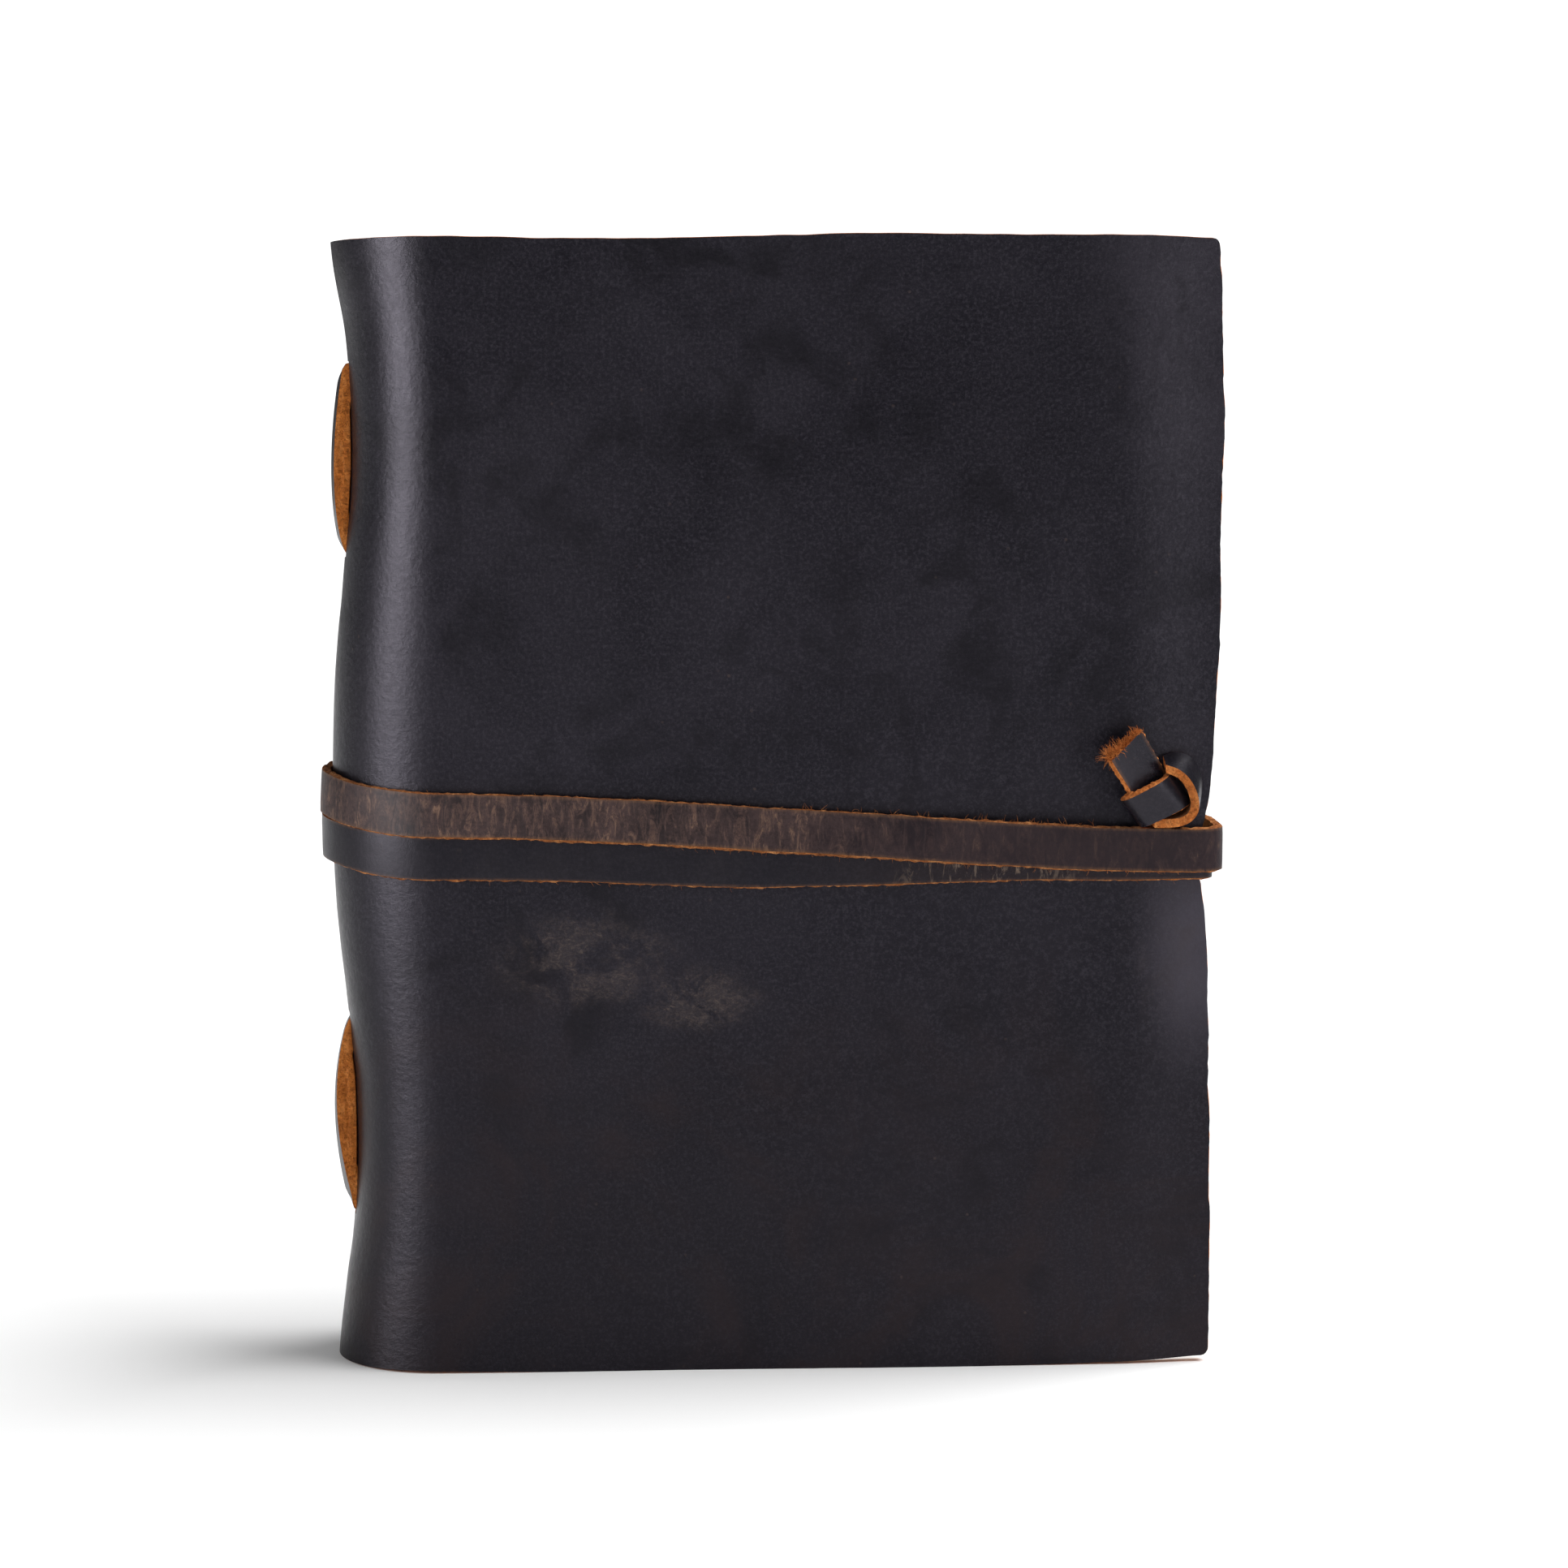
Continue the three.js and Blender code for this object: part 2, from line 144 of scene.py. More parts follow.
def waves(x, z, size, seed, count=7):
    """Smooth wandering values of about -1 to 1, whose bumps are about size millimetres across."""
    draw = np.random.default_rng(seed)
    x, z = np.asarray(x, float), np.asarray(z, float)
    total = np.zeros(np.broadcast(x, z).shape)
    for _ in range(count):
        turn = draw.uniform(0, math.tau)
        pitch = size * draw.uniform(0.7, 1.6)
        phase = draw.uniform(0, math.tau)
        total += np.sin((x * math.cos(turn) + z * math.sin(turn)) * math.tau / pitch + phase)
    return total / math.sqrt(count) / 1.4


# ------------ materials
class Nodes:
    """A short way to write a material's node tree."""

    def __init__(self, name):
        self.material = bpy.data.materials.new(name)
        self.material.use_nodes = True
        self.tree = self.material.node_tree
        self.shader = self.tree.nodes["Principled BSDF"]
        self.rest = self.add("Attribute", attribute_name="rest").outputs["Vector"]
        self.flow = self.add("Attribute", attribute_name="flow").outputs["Vector"]

    def add(self, kind, inputs=(), **settings):
        node = self.tree.nodes.new("ShaderNode" + kind)
        for key, value in settings.items():
            setattr(node, key, value)
        for key, value in dict(inputs).items():
            if isinstance(value, bpy.types.NodeSocket):
                self.tree.links.new(value, node.inputs[key])
            else:
                node.inputs[key].default_value = value
        return node

    def stretch(self, vector, scale):
        return self.add("Mapping", {"Vector": vector, "Scale": scale}).outputs[0]

    def noise(self, vector, scale, detail=4.0, rough=0.55, distortion=0.0):
        """Noise at one scale, or at a scale for each axis."""
        if isinstance(scale, tuple):
            vector, scale = self.stretch(vector, scale), 1.0
        inputs = dict(Vector=vector, Scale=scale, Detail=detail, Roughness=rough, Distortion=distortion)
        return self.add("TexNoise", inputs).outputs["Fac"]

    def cells(self, vector, scale):
        return self.add("TexVoronoi", {"Vector": vector, "Scale": scale}).outputs["Distance"]

    def height(self, vector):
        return self.add("SeparateXYZ", {0: vector}).outputs["Z"]

    def rim(self, start, breakup):
        """1 along a strap's two long edges, broken up by a noise."""
        away = self.math("ABSOLUTE", self.add("SeparateXYZ", {0: self.flow}).outputs["Y"])
        return self.times(self.ramp(away, start, 0.0039), self.ramp(breakup, 0.3, 0.6))

    def ramp(self, value, low, high, to_low=0.0, to_high=1.0):
        inputs = {0: value, 1: low, 2: high, 3: to_low, 4: to_high}
        return self.add("MapRange", inputs, interpolation_type="SMOOTHSTEP").outputs[0]

    def math(self, operation, a, b=0.5):
        return self.add("Math", {0: a, 1: b}, operation=operation).outputs[0]

    def times(self, a, b):
        return self.math("MULTIPLY", a, b)

    def larger(self, a, b):
        return self.math("MAXIMUM", a, b)

    def near(self, centre, radii):
        """1 at a place, given in book millimetres, and 0 further away than the radii."""
        place = [(c + o) / 1000 for c, o in zip(centre, ORIGIN)]
        away = self.add("VectorMath", {0: self.rest, 1: place}, operation="SUBTRACT").outputs[0]
        scaled = self.stretch(away, [1000 / r for r in radii])
        far = self.add("VectorMath", {0: scaled}, operation="LENGTH").outputs["Value"]
        return self.ramp(far, 0.15, 1.0, 1.0, 0.0)

    def blend(self, factor, a, b):
        node = self.add("Mix", {"Factor": factor}, data_type="RGBA")
        for socket, value in ((node.inputs[6], a), (node.inputs[7], b)):
            if isinstance(value, bpy.types.NodeSocket):
                self.tree.links.new(value, socket)
            else:
                socket.default_value = (*value, 1.0)
        return node.outputs[2]

    def bump(self, height, distance, strength=1.0, normal=None):
        inputs = {"Height": height, "Distance": distance, "Strength": strength}
        if normal is not None:
            inputs["Normal"] = normal
        return self.add("Bump", inputs).outputs[0]

    def finish(self, **sockets):
        for name, value in sockets.items():
            socket = self.shader.inputs[name.replace("_", " ")]
            if isinstance(value, bpy.types.NodeSocket):
                self.tree.links.new(value, socket)
            else:
                socket.default_value = (*value, 1.0) if isinstance(value, tuple) else value
        return self.material


def hide_leather():
    """Waxed pull-up hide: blue-black, mottled, with brown scuffs and fine creases, and painted sheen on the
    fore-edge: a lighter bluish tone below the strap and at the top corner, and a lighter brown patch below
    the strap.
    """
    n = Nodes("waxed_hide")
    cloud = n.noise(n.rest, 26, 5, 0.6, 0.6)
    spots = n.ramp(n.noise(n.rest, 74, 5, 0.62, 0.5), 0.33, 0.54, 1, 0)
    spots = n.times(spots, n.ramp(n.noise(n.rest, 19, 2), 0.42, 0.56))
    fine = n.noise(n.rest, 600, 7, 0.75)
    grain = n.noise(n.rest, 1500, 5, 0.85)
    colour = n.blend(n.ramp(cloud, 0.3, 0.72), (0.0008, 0.0007, 0.0030), (0.0080, 0.0070, 0.0112))
    colour = n.blend(n.ramp(grain, 0.46, 0.64, 0, 0.55), colour, (0.040, 0.037, 0.047))
    colour = n.blend(n.ramp(fine, 0.40, 0.75, 0, 0.18), colour, (0.034, 0.031, 0.038))
    # painted sheen: a lighter bluish tone below the strap at the fore-edge and, weaker, at the top of the
    # fore-edge, where the bulging cover catches the light from the right
    corner = n.times(n.near((154, -R, 190), (30, 12, 50)), 0.4)
    painted_sheen = n.larger(n.near((155, -R, 76), (15, 12, 30)), corner)
    painted_sheen = n.times(painted_sheen, n.ramp(cloud, 0.3, 0.6, 0.4, 1))
    colour = n.blend(n.times(painted_sheen, 0.85), colour, (0.058, 0.052, 0.066))
    colour = n.blend(n.times(spots, 0.75), colour, (0.0005, 0.0005, 0.0015))
    tail = n.ramp(n.height(n.rest), 0.085, 0.03)
    colour = n.blend(n.times(tail, 0.4), colour, (0.004, 0.0025, 0.0035))
    brown = n.times(tail, n.ramp(n.noise(n.rest, 38, 6, 0.65, 1), 0.42, 0.75))
    colour = n.blend(n.times(brown, 0.8), colour, (0.0165, 0.0088, 0.0080))
    rub = n.noise(n.rest, 90, 8, 0.72, 1.4)
    scuff = n.times(n.near((44, -R, 75), (22, 9, 12)), n.ramp(rub, 0.38, 0.60))
    beside = n.times(n.near((64, -R, 68), (15, 9, 8)), n.ramp(rub, 0.38, 0.58))
    scuff = n.larger(scuff, beside)
    # edge is painted sheen below the strap at the fore-edge, given a worn brown tone; scuff and beside are
    # real scuffs
    edge = n.times(n.near((150, -R, 78), (12, 9, 26)), n.ramp(rub, 0.4, 0.7))
    wear_and_sheen = n.larger(scuff, edge)
    colour = n.blend(n.times(wear_and_sheen, 0.38), colour, (0.042, 0.032, 0.029))
    wisp = n.noise(n.rest, (900, 900, 1500), 8, 0.85, 0.7)
    wisp = n.times(n.ramp(wisp, 0.46, 0.66), n.ramp(scuff, 0.05, 0.6))
    colour = n.blend(n.times(wisp, 0.75), colour, (0.100, 0.073, 0.060))
    flecks = n.ramp(n.cells(n.rest, 330), 0.05, 0.13, 1, 0)
    flecks = n.times(flecks, n.ramp(n.noise(n.rest, 150, 3), 0.58, 0.68))
    colour = n.blend(n.times(flecks, 0.4), colour, (0.09, 0.06, 0.045))
    rough = n.ramp(cloud, 0.2, 0.8, 0.27, 0.38)
    rough = n.math("ADD", rough, n.times(wear_and_sheen, 0.16))
    rough = n.math("SUBTRACT", rough, n.times(n.math("SUBTRACT", fine, 0.5), 0.25))
    crease = n.noise(n.stretch(n.rest, (1, 1, 2.2)), 170, 4, 0.6, 2.2)
    crease = n.times(crease, n.ramp(n.noise(n.rest, 30, 2), 0.45, 0.7, 0.15, 1))
    normal = n.bump(fine, 0.00012, 0.8)
    normal = n.bump(n.cells(n.rest, 900), 0.00008, 0.25, normal)
    normal = n.bump(crease, 0.0003, 0.13, normal)
    return n.finish(Base_Color=colour, Roughness=rough, Normal=normal, Specular_IOR_Level=0.19,
                    Specular_Tint=(0.92, 0.86, 1))


def strap_leather():
    """The strap's grain side: brown-black with lighter streaks across it where the wax has pulled."""
    n = Nodes("strap_grain")
    across = n.noise(n.flow, (620, 190, 1), 8, 0.78, 1.1)
    patch = n.noise(n.flow, (90, 60, 1), 4, 0.65)
    speck = n.noise(n.flow, 1500, 5, 0.8)
    tone = n.blend(n.ramp(patch, 0.33, 0.62), (0.0090, 0.0062, 0.0078), (0.056, 0.032, 0.030))
    tone = n.blend(n.ramp(across, 0.43, 0.58, 0, 0.7), tone, (0.096, 0.054, 0.045))
    tone = n.blend(n.ramp(speck, 0.44, 0.62, 0, 0.5), tone, (0.008, 0.005, 0.006))
    streak = n.times(n.ramp(across, 0.52, 0.7), n.ramp(patch, 0.36, 0.6))
    tone = n.blend(n.times(streak, 0.85), tone, (0.28, 0.160, 0.100))
    waxed = n.near((135, -R, 97), (80, 60, 60))
    tone = n.blend(n.times(waxed, 0.78), tone, (0.0135, 0.0068, 0.0105))
    pulled = n.times(n.ramp(across, 0.60, 0.78), n.ramp(patch, 0.42, 0.55))
    tone = n.blend(n.times(pulled, 0.8), tone, (0.170, 0.105, 0.072))
    tone = n.blend(n.times(n.rim(0.0031, across), 0.7), tone, (0.16, 0.075, 0.032))
    rough = n.ramp(patch, 0.2, 0.8, 0.42, 0.6)
    normal = n.bump(across, 0.00012, 0.5)
    normal = n.bump(n.noise(n.flow, 900, 5, 0.7), 0.00006, 0.6, normal)
    return n.finish(Base_Color=tone, Roughness=rough, Normal=normal, Specular_IOR_Level=0.16,
                    Specular_Tint=(1, 0.92, 0.95))


def dark_strap(name, level, gloss):
    """The same strap where it still has its wax: nearly as dark as the cover, with pale creases at one end.

    level is its specular level, and gloss the range of its roughness."""
    n = Nodes(name)
    across = n.noise(n.flow, (560, 150, 1), 7, 0.75, 0.9)
    patch = n.noise(n.flow, (70, 60, 1), 3, 0.6)
    tone = n.blend(n.ramp(patch, 0.35, 0.7), (0.0034, 0.0030, 0.0058), (0.0080, 0.0066, 0.0088))
    worn = n.times(n.near((128, -R, 90), (55, 12, 12)), n.ramp(patch, 0.3, 0.6, 0.4, 1))
    tone = n.blend(n.times(worn, 0.7), tone, (0.0150, 0.0066, 0.0048))
    pull = n.times(n.near((116, -R, 90), (22, 12, 10)), n.ramp(across, 0.5, 0.6))
    streak = n.larger(n.times(n.ramp(across, 0.62, 0.85), 0.3), pull)
    tone = n.blend(n.times(streak, 0.8), tone, (0.24, 0.175, 0.125))
    tone = n.blend(n.times(n.rim(0.0032, across), 0.6), tone, (0.15, 0.07, 0.03))
    grain = n.noise(n.flow, 1500, 5, 0.85)
    tone = n.blend(n.ramp(grain, 0.40, 0.72, 0, 0.30), tone, (0.040, 0.035, 0.044))
    normal = n.bump(across, 0.0001, 0.4)
    normal = n.bump(n.noise(n.flow, 900, 5, 0.7), 0.00006, 0.6, normal)
    return n.finish(Base_Color=tone, Roughness=n.ramp(patch, 0.2, 0.8, gloss[0], gloss[1]), Normal=normal,
                    Specular_IOR_Level=level, Specular_Tint=(0.92, 0.87, 1))


def raw_edge(name, light, dark, tip):
    """Cut leather or suede: loose tan fibres with darker gaps and paler tips."""
    n = Nodes(name)
    fibre = n.noise(n.rest, (900, 900, 1400), 7, 0.75, 0.8)
    clump = n.noise(n.rest, (700, 700, 230), 5, 0.65, 0.6)
    colour = n.blend(n.ramp(fibre, 0.32, 0.7), dark, light)
    colour = n.blend(n.ramp(clump, 0.46, 0.68, 0, 0.7), colour, tip)
    pits = n.ramp(n.noise(n.rest, 2200, 3, 0.8), 0.36, 0.5, 0.6, 0)
    pits = n.larger(pits, n.ramp(clump, 0.30, 0.43, 0.65, 0))
    colour = n.blend(pits, colour, tuple(0.35 * c for c in dark))
    normal = n.bump(fibre, 0.00025, 0.9)
    return n.finish(Base_Color=colour, Normal=normal, Roughness=0.9, Specular_IOR_Level=0.08)


def page_paper():
    """Cream handmade paper with faint fibres and slightly darker clouds."""
    n = Nodes("handmade_paper")
    fibre = n.noise(n.rest, (500, 700, 260), 6, 0.7, 1.2)
    cloud = n.noise(n.rest, 30, 4, 0.6)
    colour = n.blend(n.ramp(fibre, 0.3, 0.75), (0.69, 0.62, 0.48), (0.83, 0.78, 0.65))
    colour = n.blend(n.ramp(cloud, 0.4, 0.8, 0, 0.35), colour, (0.74, 0.64, 0.46))
    normal = n.bump(fibre, 0.00008, 0.7)
    return n.finish(Base_Color=colour, Roughness=0.92, Normal=normal)


def waxed_linen():
    """Sewing thread: three strands laid round each other."""
    n = Nodes("waxed_linen")
    slant = n.stretch(n.rest, (0, 1600, 900))
    lay = n.add("TexWave", {"Vector": slant, "Scale": 1, "Distortion": 0.6}).outputs["Fac"]
    colour = n.blend(lay, (0.36, 0.29, 0.19), (0.66, 0.58, 0.43))
    return n.finish(Base_Color=colour, Roughness=0.7, Normal=n.bump(lay, 0.0001, 0.8))


GRAIN = hide_leather()
STRAP = strap_leather()
STRAP_DARK = dark_strap("strap_grain_dark", 0.19, (0.34, 0.44))
STRAP_KNOT = dark_strap("strap_grain_knot", 0.3, (0.24, 0.34))
RAW = raw_edge("raw_edge", (0.66, 0.205, 0.045), (0.34, 0.095, 0.022), (0.78, 0.31, 0.09))
STRAP_EDGE = raw_edge("strap_edge", (0.40, 0.135, 0.040), (0.15, 0.050, 0.018), (0.60, 0.27, 0.10))
FLESH = raw_edge("flesh_side", (0.27, 0.125, 0.050), (0.19, 0.082, 0.032), (0.32, 0.16, 0.070))
SUEDE = raw_edge("lace_suede", (0.64, 0.20, 0.034), (0.36, 0.10, 0.017), (0.74, 0.28, 0.07))
PAPER = page_paper()
LINEN = waxed_linen()


# ------------ meshes
def make(name, points, faces, materials, face_material, flow=None, sharp=math.radians(55)):
    """A mesh object from points in book millimetres, with its faces turned out.

    Its materials follow two attributes of each point: rest, its place at rest, and flow, its place along,
    across and through a strip."""
    places = (np.asarray(points, float) + ORIGIN) / 1000
    mesh = bpy.data.meshes.new(name)
    mesh.from_pydata(places.tolist(), [], faces)
    for material in materials:
        mesh.materials.append(material)
    mesh.polygons.foreach_set("material_index", np.asarray(face_material, np.int32))
    mesh.polygons.foreach_set("use_smooth", np.ones(len(faces), bool))
    rest = mesh.attributes.new("rest", "FLOAT_VECTOR", "POINT")
    rest.data.foreach_set("vector", places.ravel().astype(np.float32))
    along = mesh.attributes.new("flow", "FLOAT_VECTOR", "POINT")
    values = places if flow is None else np.asarray(flow, float) / 1000
    along.data.foreach_set("vector", values.ravel().astype(np.float32))
    mesh.validate()
    mesh.update()
    mesh.set_sharp_from_angle(angle=sharp)
    outward(mesh)
    return placed(name, mesh)


def outward(mesh):
    """Turns every island of a mesh so that its faces point out."""
    work = bmesh.new()
    work.from_mesh(mesh)
    bmesh.ops.recalc_face_normals(work, faces=work.faces)
    work.to_mesh(mesh)
    work.free()


class Build:
    """Gathers the points and faces of one piece from several skins."""

    def __init__(self):
        self.points, self.faces, self.kinds, self.flow = [], [], [], []

    def skin(self, rings, kinds, flow, loop=False):
        """A closed skin over rings of equal length; kinds gives each strip round the ring its material."""
        rings = np.asarray(rings, float)
        count, n = rings.shape[:2]
        base = len(self.points)
        self.points.extend(rings.reshape(-1, 3).tolist())
        self.flow.extend(np.asarray(flow, float).reshape(-1, 3).tolist())
        spans = count if loop else count - 1
        for i in range(spans):
            a = base + i * n
            b = base + ((i + 1) % count) * n
            for k in range(n):
                m = (k + 1) % n
                self.faces.append((a + k, a + m, b + m, b + k))
                self.kinds.append(kinds[k])
        if not loop:
            last = base + (count - 1) * n
            self.faces += [tuple(range(base + n - 1, base - 1, -1)), tuple(range(last, last + n))]
            self.kinds += [1, 1]

    def strip(self, name, materials):
        return make(name, self.points, self.faces, materials, self.kinds, self.flow, sharp=math.radians(28))

    def plain(self, name, material):
        return make(name, self.points, self.faces, [material], [0] * len(self.faces))


# ------------ the hide's shape
def through(points, at, width):
    """A smooth curve that follows the points: the mean of their values, weighted by nearness."""
    where, value = np.array(points, float).T
    weight = np.exp(-(((np.asarray(at, float)[..., None] - where) / width) ** 2)) + 1e-12
    return (weight * value).sum(-1) / weight.sum(-1)


# The hide's uneven outline: how far the spine is drawn in and where the fore-edge is, by height, and how far
# the head and the tail of the hide stand above the straight line, by x.
SPINE_INSET = [
    (0, -2.2), (6, -1.2), (14, -0.4), (22, 0.9), (30, 1.6), (40, 1.9), (50, 1.8), (60, 0.9), (68, 0.1),
    (76, -0.8), (84, -1.5), (92, -1.8), (100, -1.9), (108, -1.8), (116, -1.6), (124, -1.25), (132, -0.6),
    (140, 0.35), (148, 1.0), (156, 2.0), (164, 2.4), (172, 2.3), (180, 2.0), (187, 1.5), (194, 0.2),
    (200, -0.8), (204, -1.3),
]
FORE_EDGE = [
    (0, 156.9), (20, 156.9), (40, 156.6), (56, 156.2), (72, 155.9), (80, 155.6), (86, 154.8), (92, 153.6),
    (98, 154.6), (104, 156.2), (114, 156.5), (122, 156.9), (130, 157.4), (140, 157.5), (150, 157.3),
    (160, 157.5), (170, 157.8), (180, 157.4), (190, 157.1), (204, 156.6),
]
HEAD_EDGE = [
    (0, -0.7), (12, -0.35), (24, -0.4), (40, -0.65), (55, -0.65), (68, -0.35), (80, 0.05), (95, 0.4),
    (106, 0.4), (116, 0.2), (130, 0.2), (144, 0.3), (152, 0.0), (158, -0.5),
]
TAIL_EDGE = [
    (0, 0.0), (14, 0.5), (26, 0.2), (40, 0.0), (80, 0.0), (120, 0.0), (132, 0.25), (144, 0.5), (158, 1.2),
]


def spine_squeeze(z):
    """How far the laces draw the spine in, and, where negative, how far it swells."""
    return through(SPINE_INSET, z, 6.0)


def fore_edge(z):
    """Where the cover ends. The strap draws it in at its waist."""
    return through(FORE_EDGE, z, 5.0)


def swell(x, z, side):
    """Slow unevenness of a flat cover, outwards."""
    body = 0.35 * waves(x, z, 90, 11 if side < 0 else 12)
    press = -0.5 * np.exp(-(((z - 93) / 16) ** 2)) * smooth(60, 150, x)
    return (body + press) * smooth(18, 60, x) - 1.3 * smooth(140, 157, x)


def hide_at(s, z, lift, side=-1):
    """A point on the hide: s along its outside from the middle of the spine, lift out of it."""
    s, z, lift = np.broadcast_arrays(*(np.asarray(v, float) for v in (s, z, lift)))
    angle = np.minimum(s / R, math.pi / 2)
    flat = np.maximum(s - QUARTER, 0)
    sine, cosine = np.sin(angle), np.cos(angle)
    x = R - R * cosine + flat
    rise = lift + swell(x, z, side)
    squeeze = spine_squeeze(z) * np.exp(-((s / 24) ** 2))
    return np.stack([x - cosine * rise + squeeze, side * (R * sine + sine * rise), z], -1)


def s_of(x):
    """The place along the hide of a point at x on the flat cover."""
    return x - R + QUARTER


def x_of(s):
    """The x of a place along the hide."""
    return np.where(s < QUARTER, R - R * np.cos(s / R), s - QUARTER + R)


def end_rows(low, high, step):
    """Places from low to high, close together near both ends where the corners are round."""
    near = np.array([0, 0.12, 0.4, 0.9, 1.6, 2.6])
    middle = np.linspace(low + 4, high - 4, int((high - low - 8) / step) + 1)
    return np.concatenate([low + near, middle, high - near[::-1]])


def rows_with(marks, rows, clear):
    """Grid places with exact lines at the given marks, and none close beside them."""
    kept = [r for r in rows if all(abs(r - m) > clear for m in marks)]
    return np.array(sorted([*kept, *marks]))


def hide_half(name, side, nodes, slits):
    """Half of the hide, from the middle of the spine to the fore-edge, with cut edges.

    slits are openings, each (lowest s, highest s, lowest z, highest z)."""
    z = rows_with([v for slit in slits for v in slit[2:]], end_rows(0.0, HEIGHT, 1.3), 0.5)
    corner = np.minimum(z, HEIGHT - z)
    nick = CORNER_R - np.sqrt(np.maximum(CORNER_R ** 2 - np.maximum(CORNER_R - corner, 0) ** 2, 0))
    last = s_of(fore_edge(z) - nick)
    lines = [v / s_of(fore_edge(100.0)) for slit in slits for v in slit[:2] if v > 0]
    t = np.concatenate([np.linspace(0, 0.97, 128)[:-1], np.linspace(0.97, 1, 9)])
    t = rows_with(lines, t, 0.003)
    s = t[None, :] * last[:, None]
    flat_x = x_of(s)
    fine = 0.05 * waves(s, 0 * s, 6, 21 + side)
    head = smooth(HEIGHT - 14, HEIGHT, z)[:, None] * (through(HEAD_EDGE, flat_x, 9.0) + fine)
    tail = (1 - smooth(0, 14, z))[:, None] * (through(TAIL_EDGE, flat_x, 9.0) + np.maximum(fine, 0))
    rows = z[:, None] + head + tail
    layers = []
    for depth in (0.0, 0.5, 1.0, 1.5, HIDE):
        layer = hide_at(s, rows, -depth, side)
        rim = 0.12 * math.sin(math.pi * depth / HIDE)
        layer[:, -1, 0] += rim + 0.05 * rng.standard_normal(len(z))
        layer[-1, :, 2] += rim
        layers.append(layer)
    layers = np.array(layers)
    mid_s, mid_z = (t[:-1] + t[1:]) / 2 * s_of(fore_edge(100.0)), (z[:-1] + z[1:])[:, None] / 2
    solid = np.ones((len(mid_z), len(mid_s)), bool)
    for low_s, high_s, low_z, high_z in slits:
        solid &= ~((mid_z > low_z) & (mid_z < high_z) & (mid_s > low_s) & (mid_s < high_s))
    return shell(name, layers, solid, nodes)


def shell(name, layers, solid, nodes):
    """A closed sheet from a stack of grids: grain outside, suede inside, raw along every cut edge."""
    depth, rows, columns = layers.shape[:3]
    number = np.arange(depth * rows * columns).reshape(depth, rows, columns)
    faces, kinds = [], []
    for grid, kind in ((number[0], 0), (number[-1], 2)):
        quads = np.stack([grid[:-1, :-1], grid[:-1, 1:], grid[1:, 1:], grid[1:, :-1]], -1)[solid].tolist()
        faces.extend(quads)
        kinds.extend([kind] * len(quads))
    padded = np.pad(solid, 1)
    across = padded[1:-1, 1:] != padded[1:-1, :-1]
    upright = padded[1:, 1:-1] != padded[:-1, 1:-1]
    for cuts, up, along in ((across, 1, 0), (upright, 0, 1)):
        for i, k in np.argwhere(cuts):
            start, end = number[:, i, k], number[:, i + up, k + along]
            for d in range(depth - 1):
                faces.append([start[d], end[d], end[d + 1], start[d + 1]])
                kinds.append(1)
    used = np.unique(np.array(faces))
    lookup = np.zeros(number.size, int)
    lookup[used] = np.arange(len(used))
    points = layers.reshape(-1, 3)[used]
    obj = make(name, points, lookup[np.array(faces)].tolist(), [GRAIN, RAW, FLESH], kinds)
    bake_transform(obj)
    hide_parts(*nodes)
    return obj


# ------------ straps and laces
# A strip's cross-section, as shares of its width and thickness, and the material of each side of it: 0 grain,
# 1 cut edge, 2 flesh side.
STRIP_OUTLINE = [
    (-0.5, 0.36), (-0.49, 0.47), (-0.3, 0.5), (-0.1, 0.5), (0.1, 0.5), (0.3, 0.5), (0.49, 0.47), (0.5, 0.36),
    (0.52, 0.14), (0.52, -0.14), (0.5, -0.44), (0.3, -0.5), (0, -0.5), (-0.3, -0.5), (-0.5, -0.44),
    (-0.52, -0.14), (-0.52, 0.14),
]
STRIP_KINDS = [1, 0, 0, 0, 0, 0, 1, 1, 1, 1, 2, 2, 2, 2, 1, 1, 1]


def ribbon(build, middle, across, normal, width, thick, loop=False, rough=0.10, seed=1):
    """A strip of leather along a path. Each station has its middle point, its direction across, and its
    grain side's normal. The cut edges are uneven."""
    draw = np.random.default_rng(seed)
    length = lengths(middle)
    u, v = np.array(STRIP_OUTLINE).T
    rings, flows = [], []
    low, high = (0.10 * waves(length, 0 * length, 14, seed + more) for more in (5, 6))
    side = np.sign(u)
    for i in range(len(middle)):
        fuzz = rough * draw.standard_normal(len(u)) * (np.abs(u) > 0.495)
        drift = np.where(np.abs(u) > 0.45, np.where(side > 0, high[i], -low[i]), 0)
        offset = u * width + np.clip(fuzz, -0.2, 0.25) * side + drift
        rings.append(middle[i] + offset[:, None] * across[i] + (v * thick)[:, None] * normal[i])
        flows.append(np.stack([np.full(len(u), length[i]), offset, v * thick], -1))
    build.skin(rings, STRIP_KINDS, flows, loop)


def fibres(build, places, directions, low, high, seed, radius=0.05):
    """Loose fibres: thin tapering curved hairs that stand out of a cut edge."""
    draw = np.random.default_rng(seed)
    for place, direction in zip(places, directions):
        length = draw.uniform(low, high)
        first = unit(direction + draw.normal(0, 0.55, 3))
        second = unit(first + draw.normal(0, 0.5, 3))
        side = unit(np.cross(first, [0.3, 0.5, 0.8]))
        other = np.cross(first, side)
        stem = [place - 0.25 * first, place + first * length * 0.5]
        stem.append(stem[1] + second * length * 0.5)
        rings = []
        for centre, r in zip(stem, (radius, radius * 0.75, radius * 0.2)):
            turns = (0, math.tau / 3, math.tau / 1.5)
            rings.append([centre + r * (math.cos(a) * side + math.sin(a) * other) for a in turns])
        build.skin(rings, [1, 1, 1], rings)


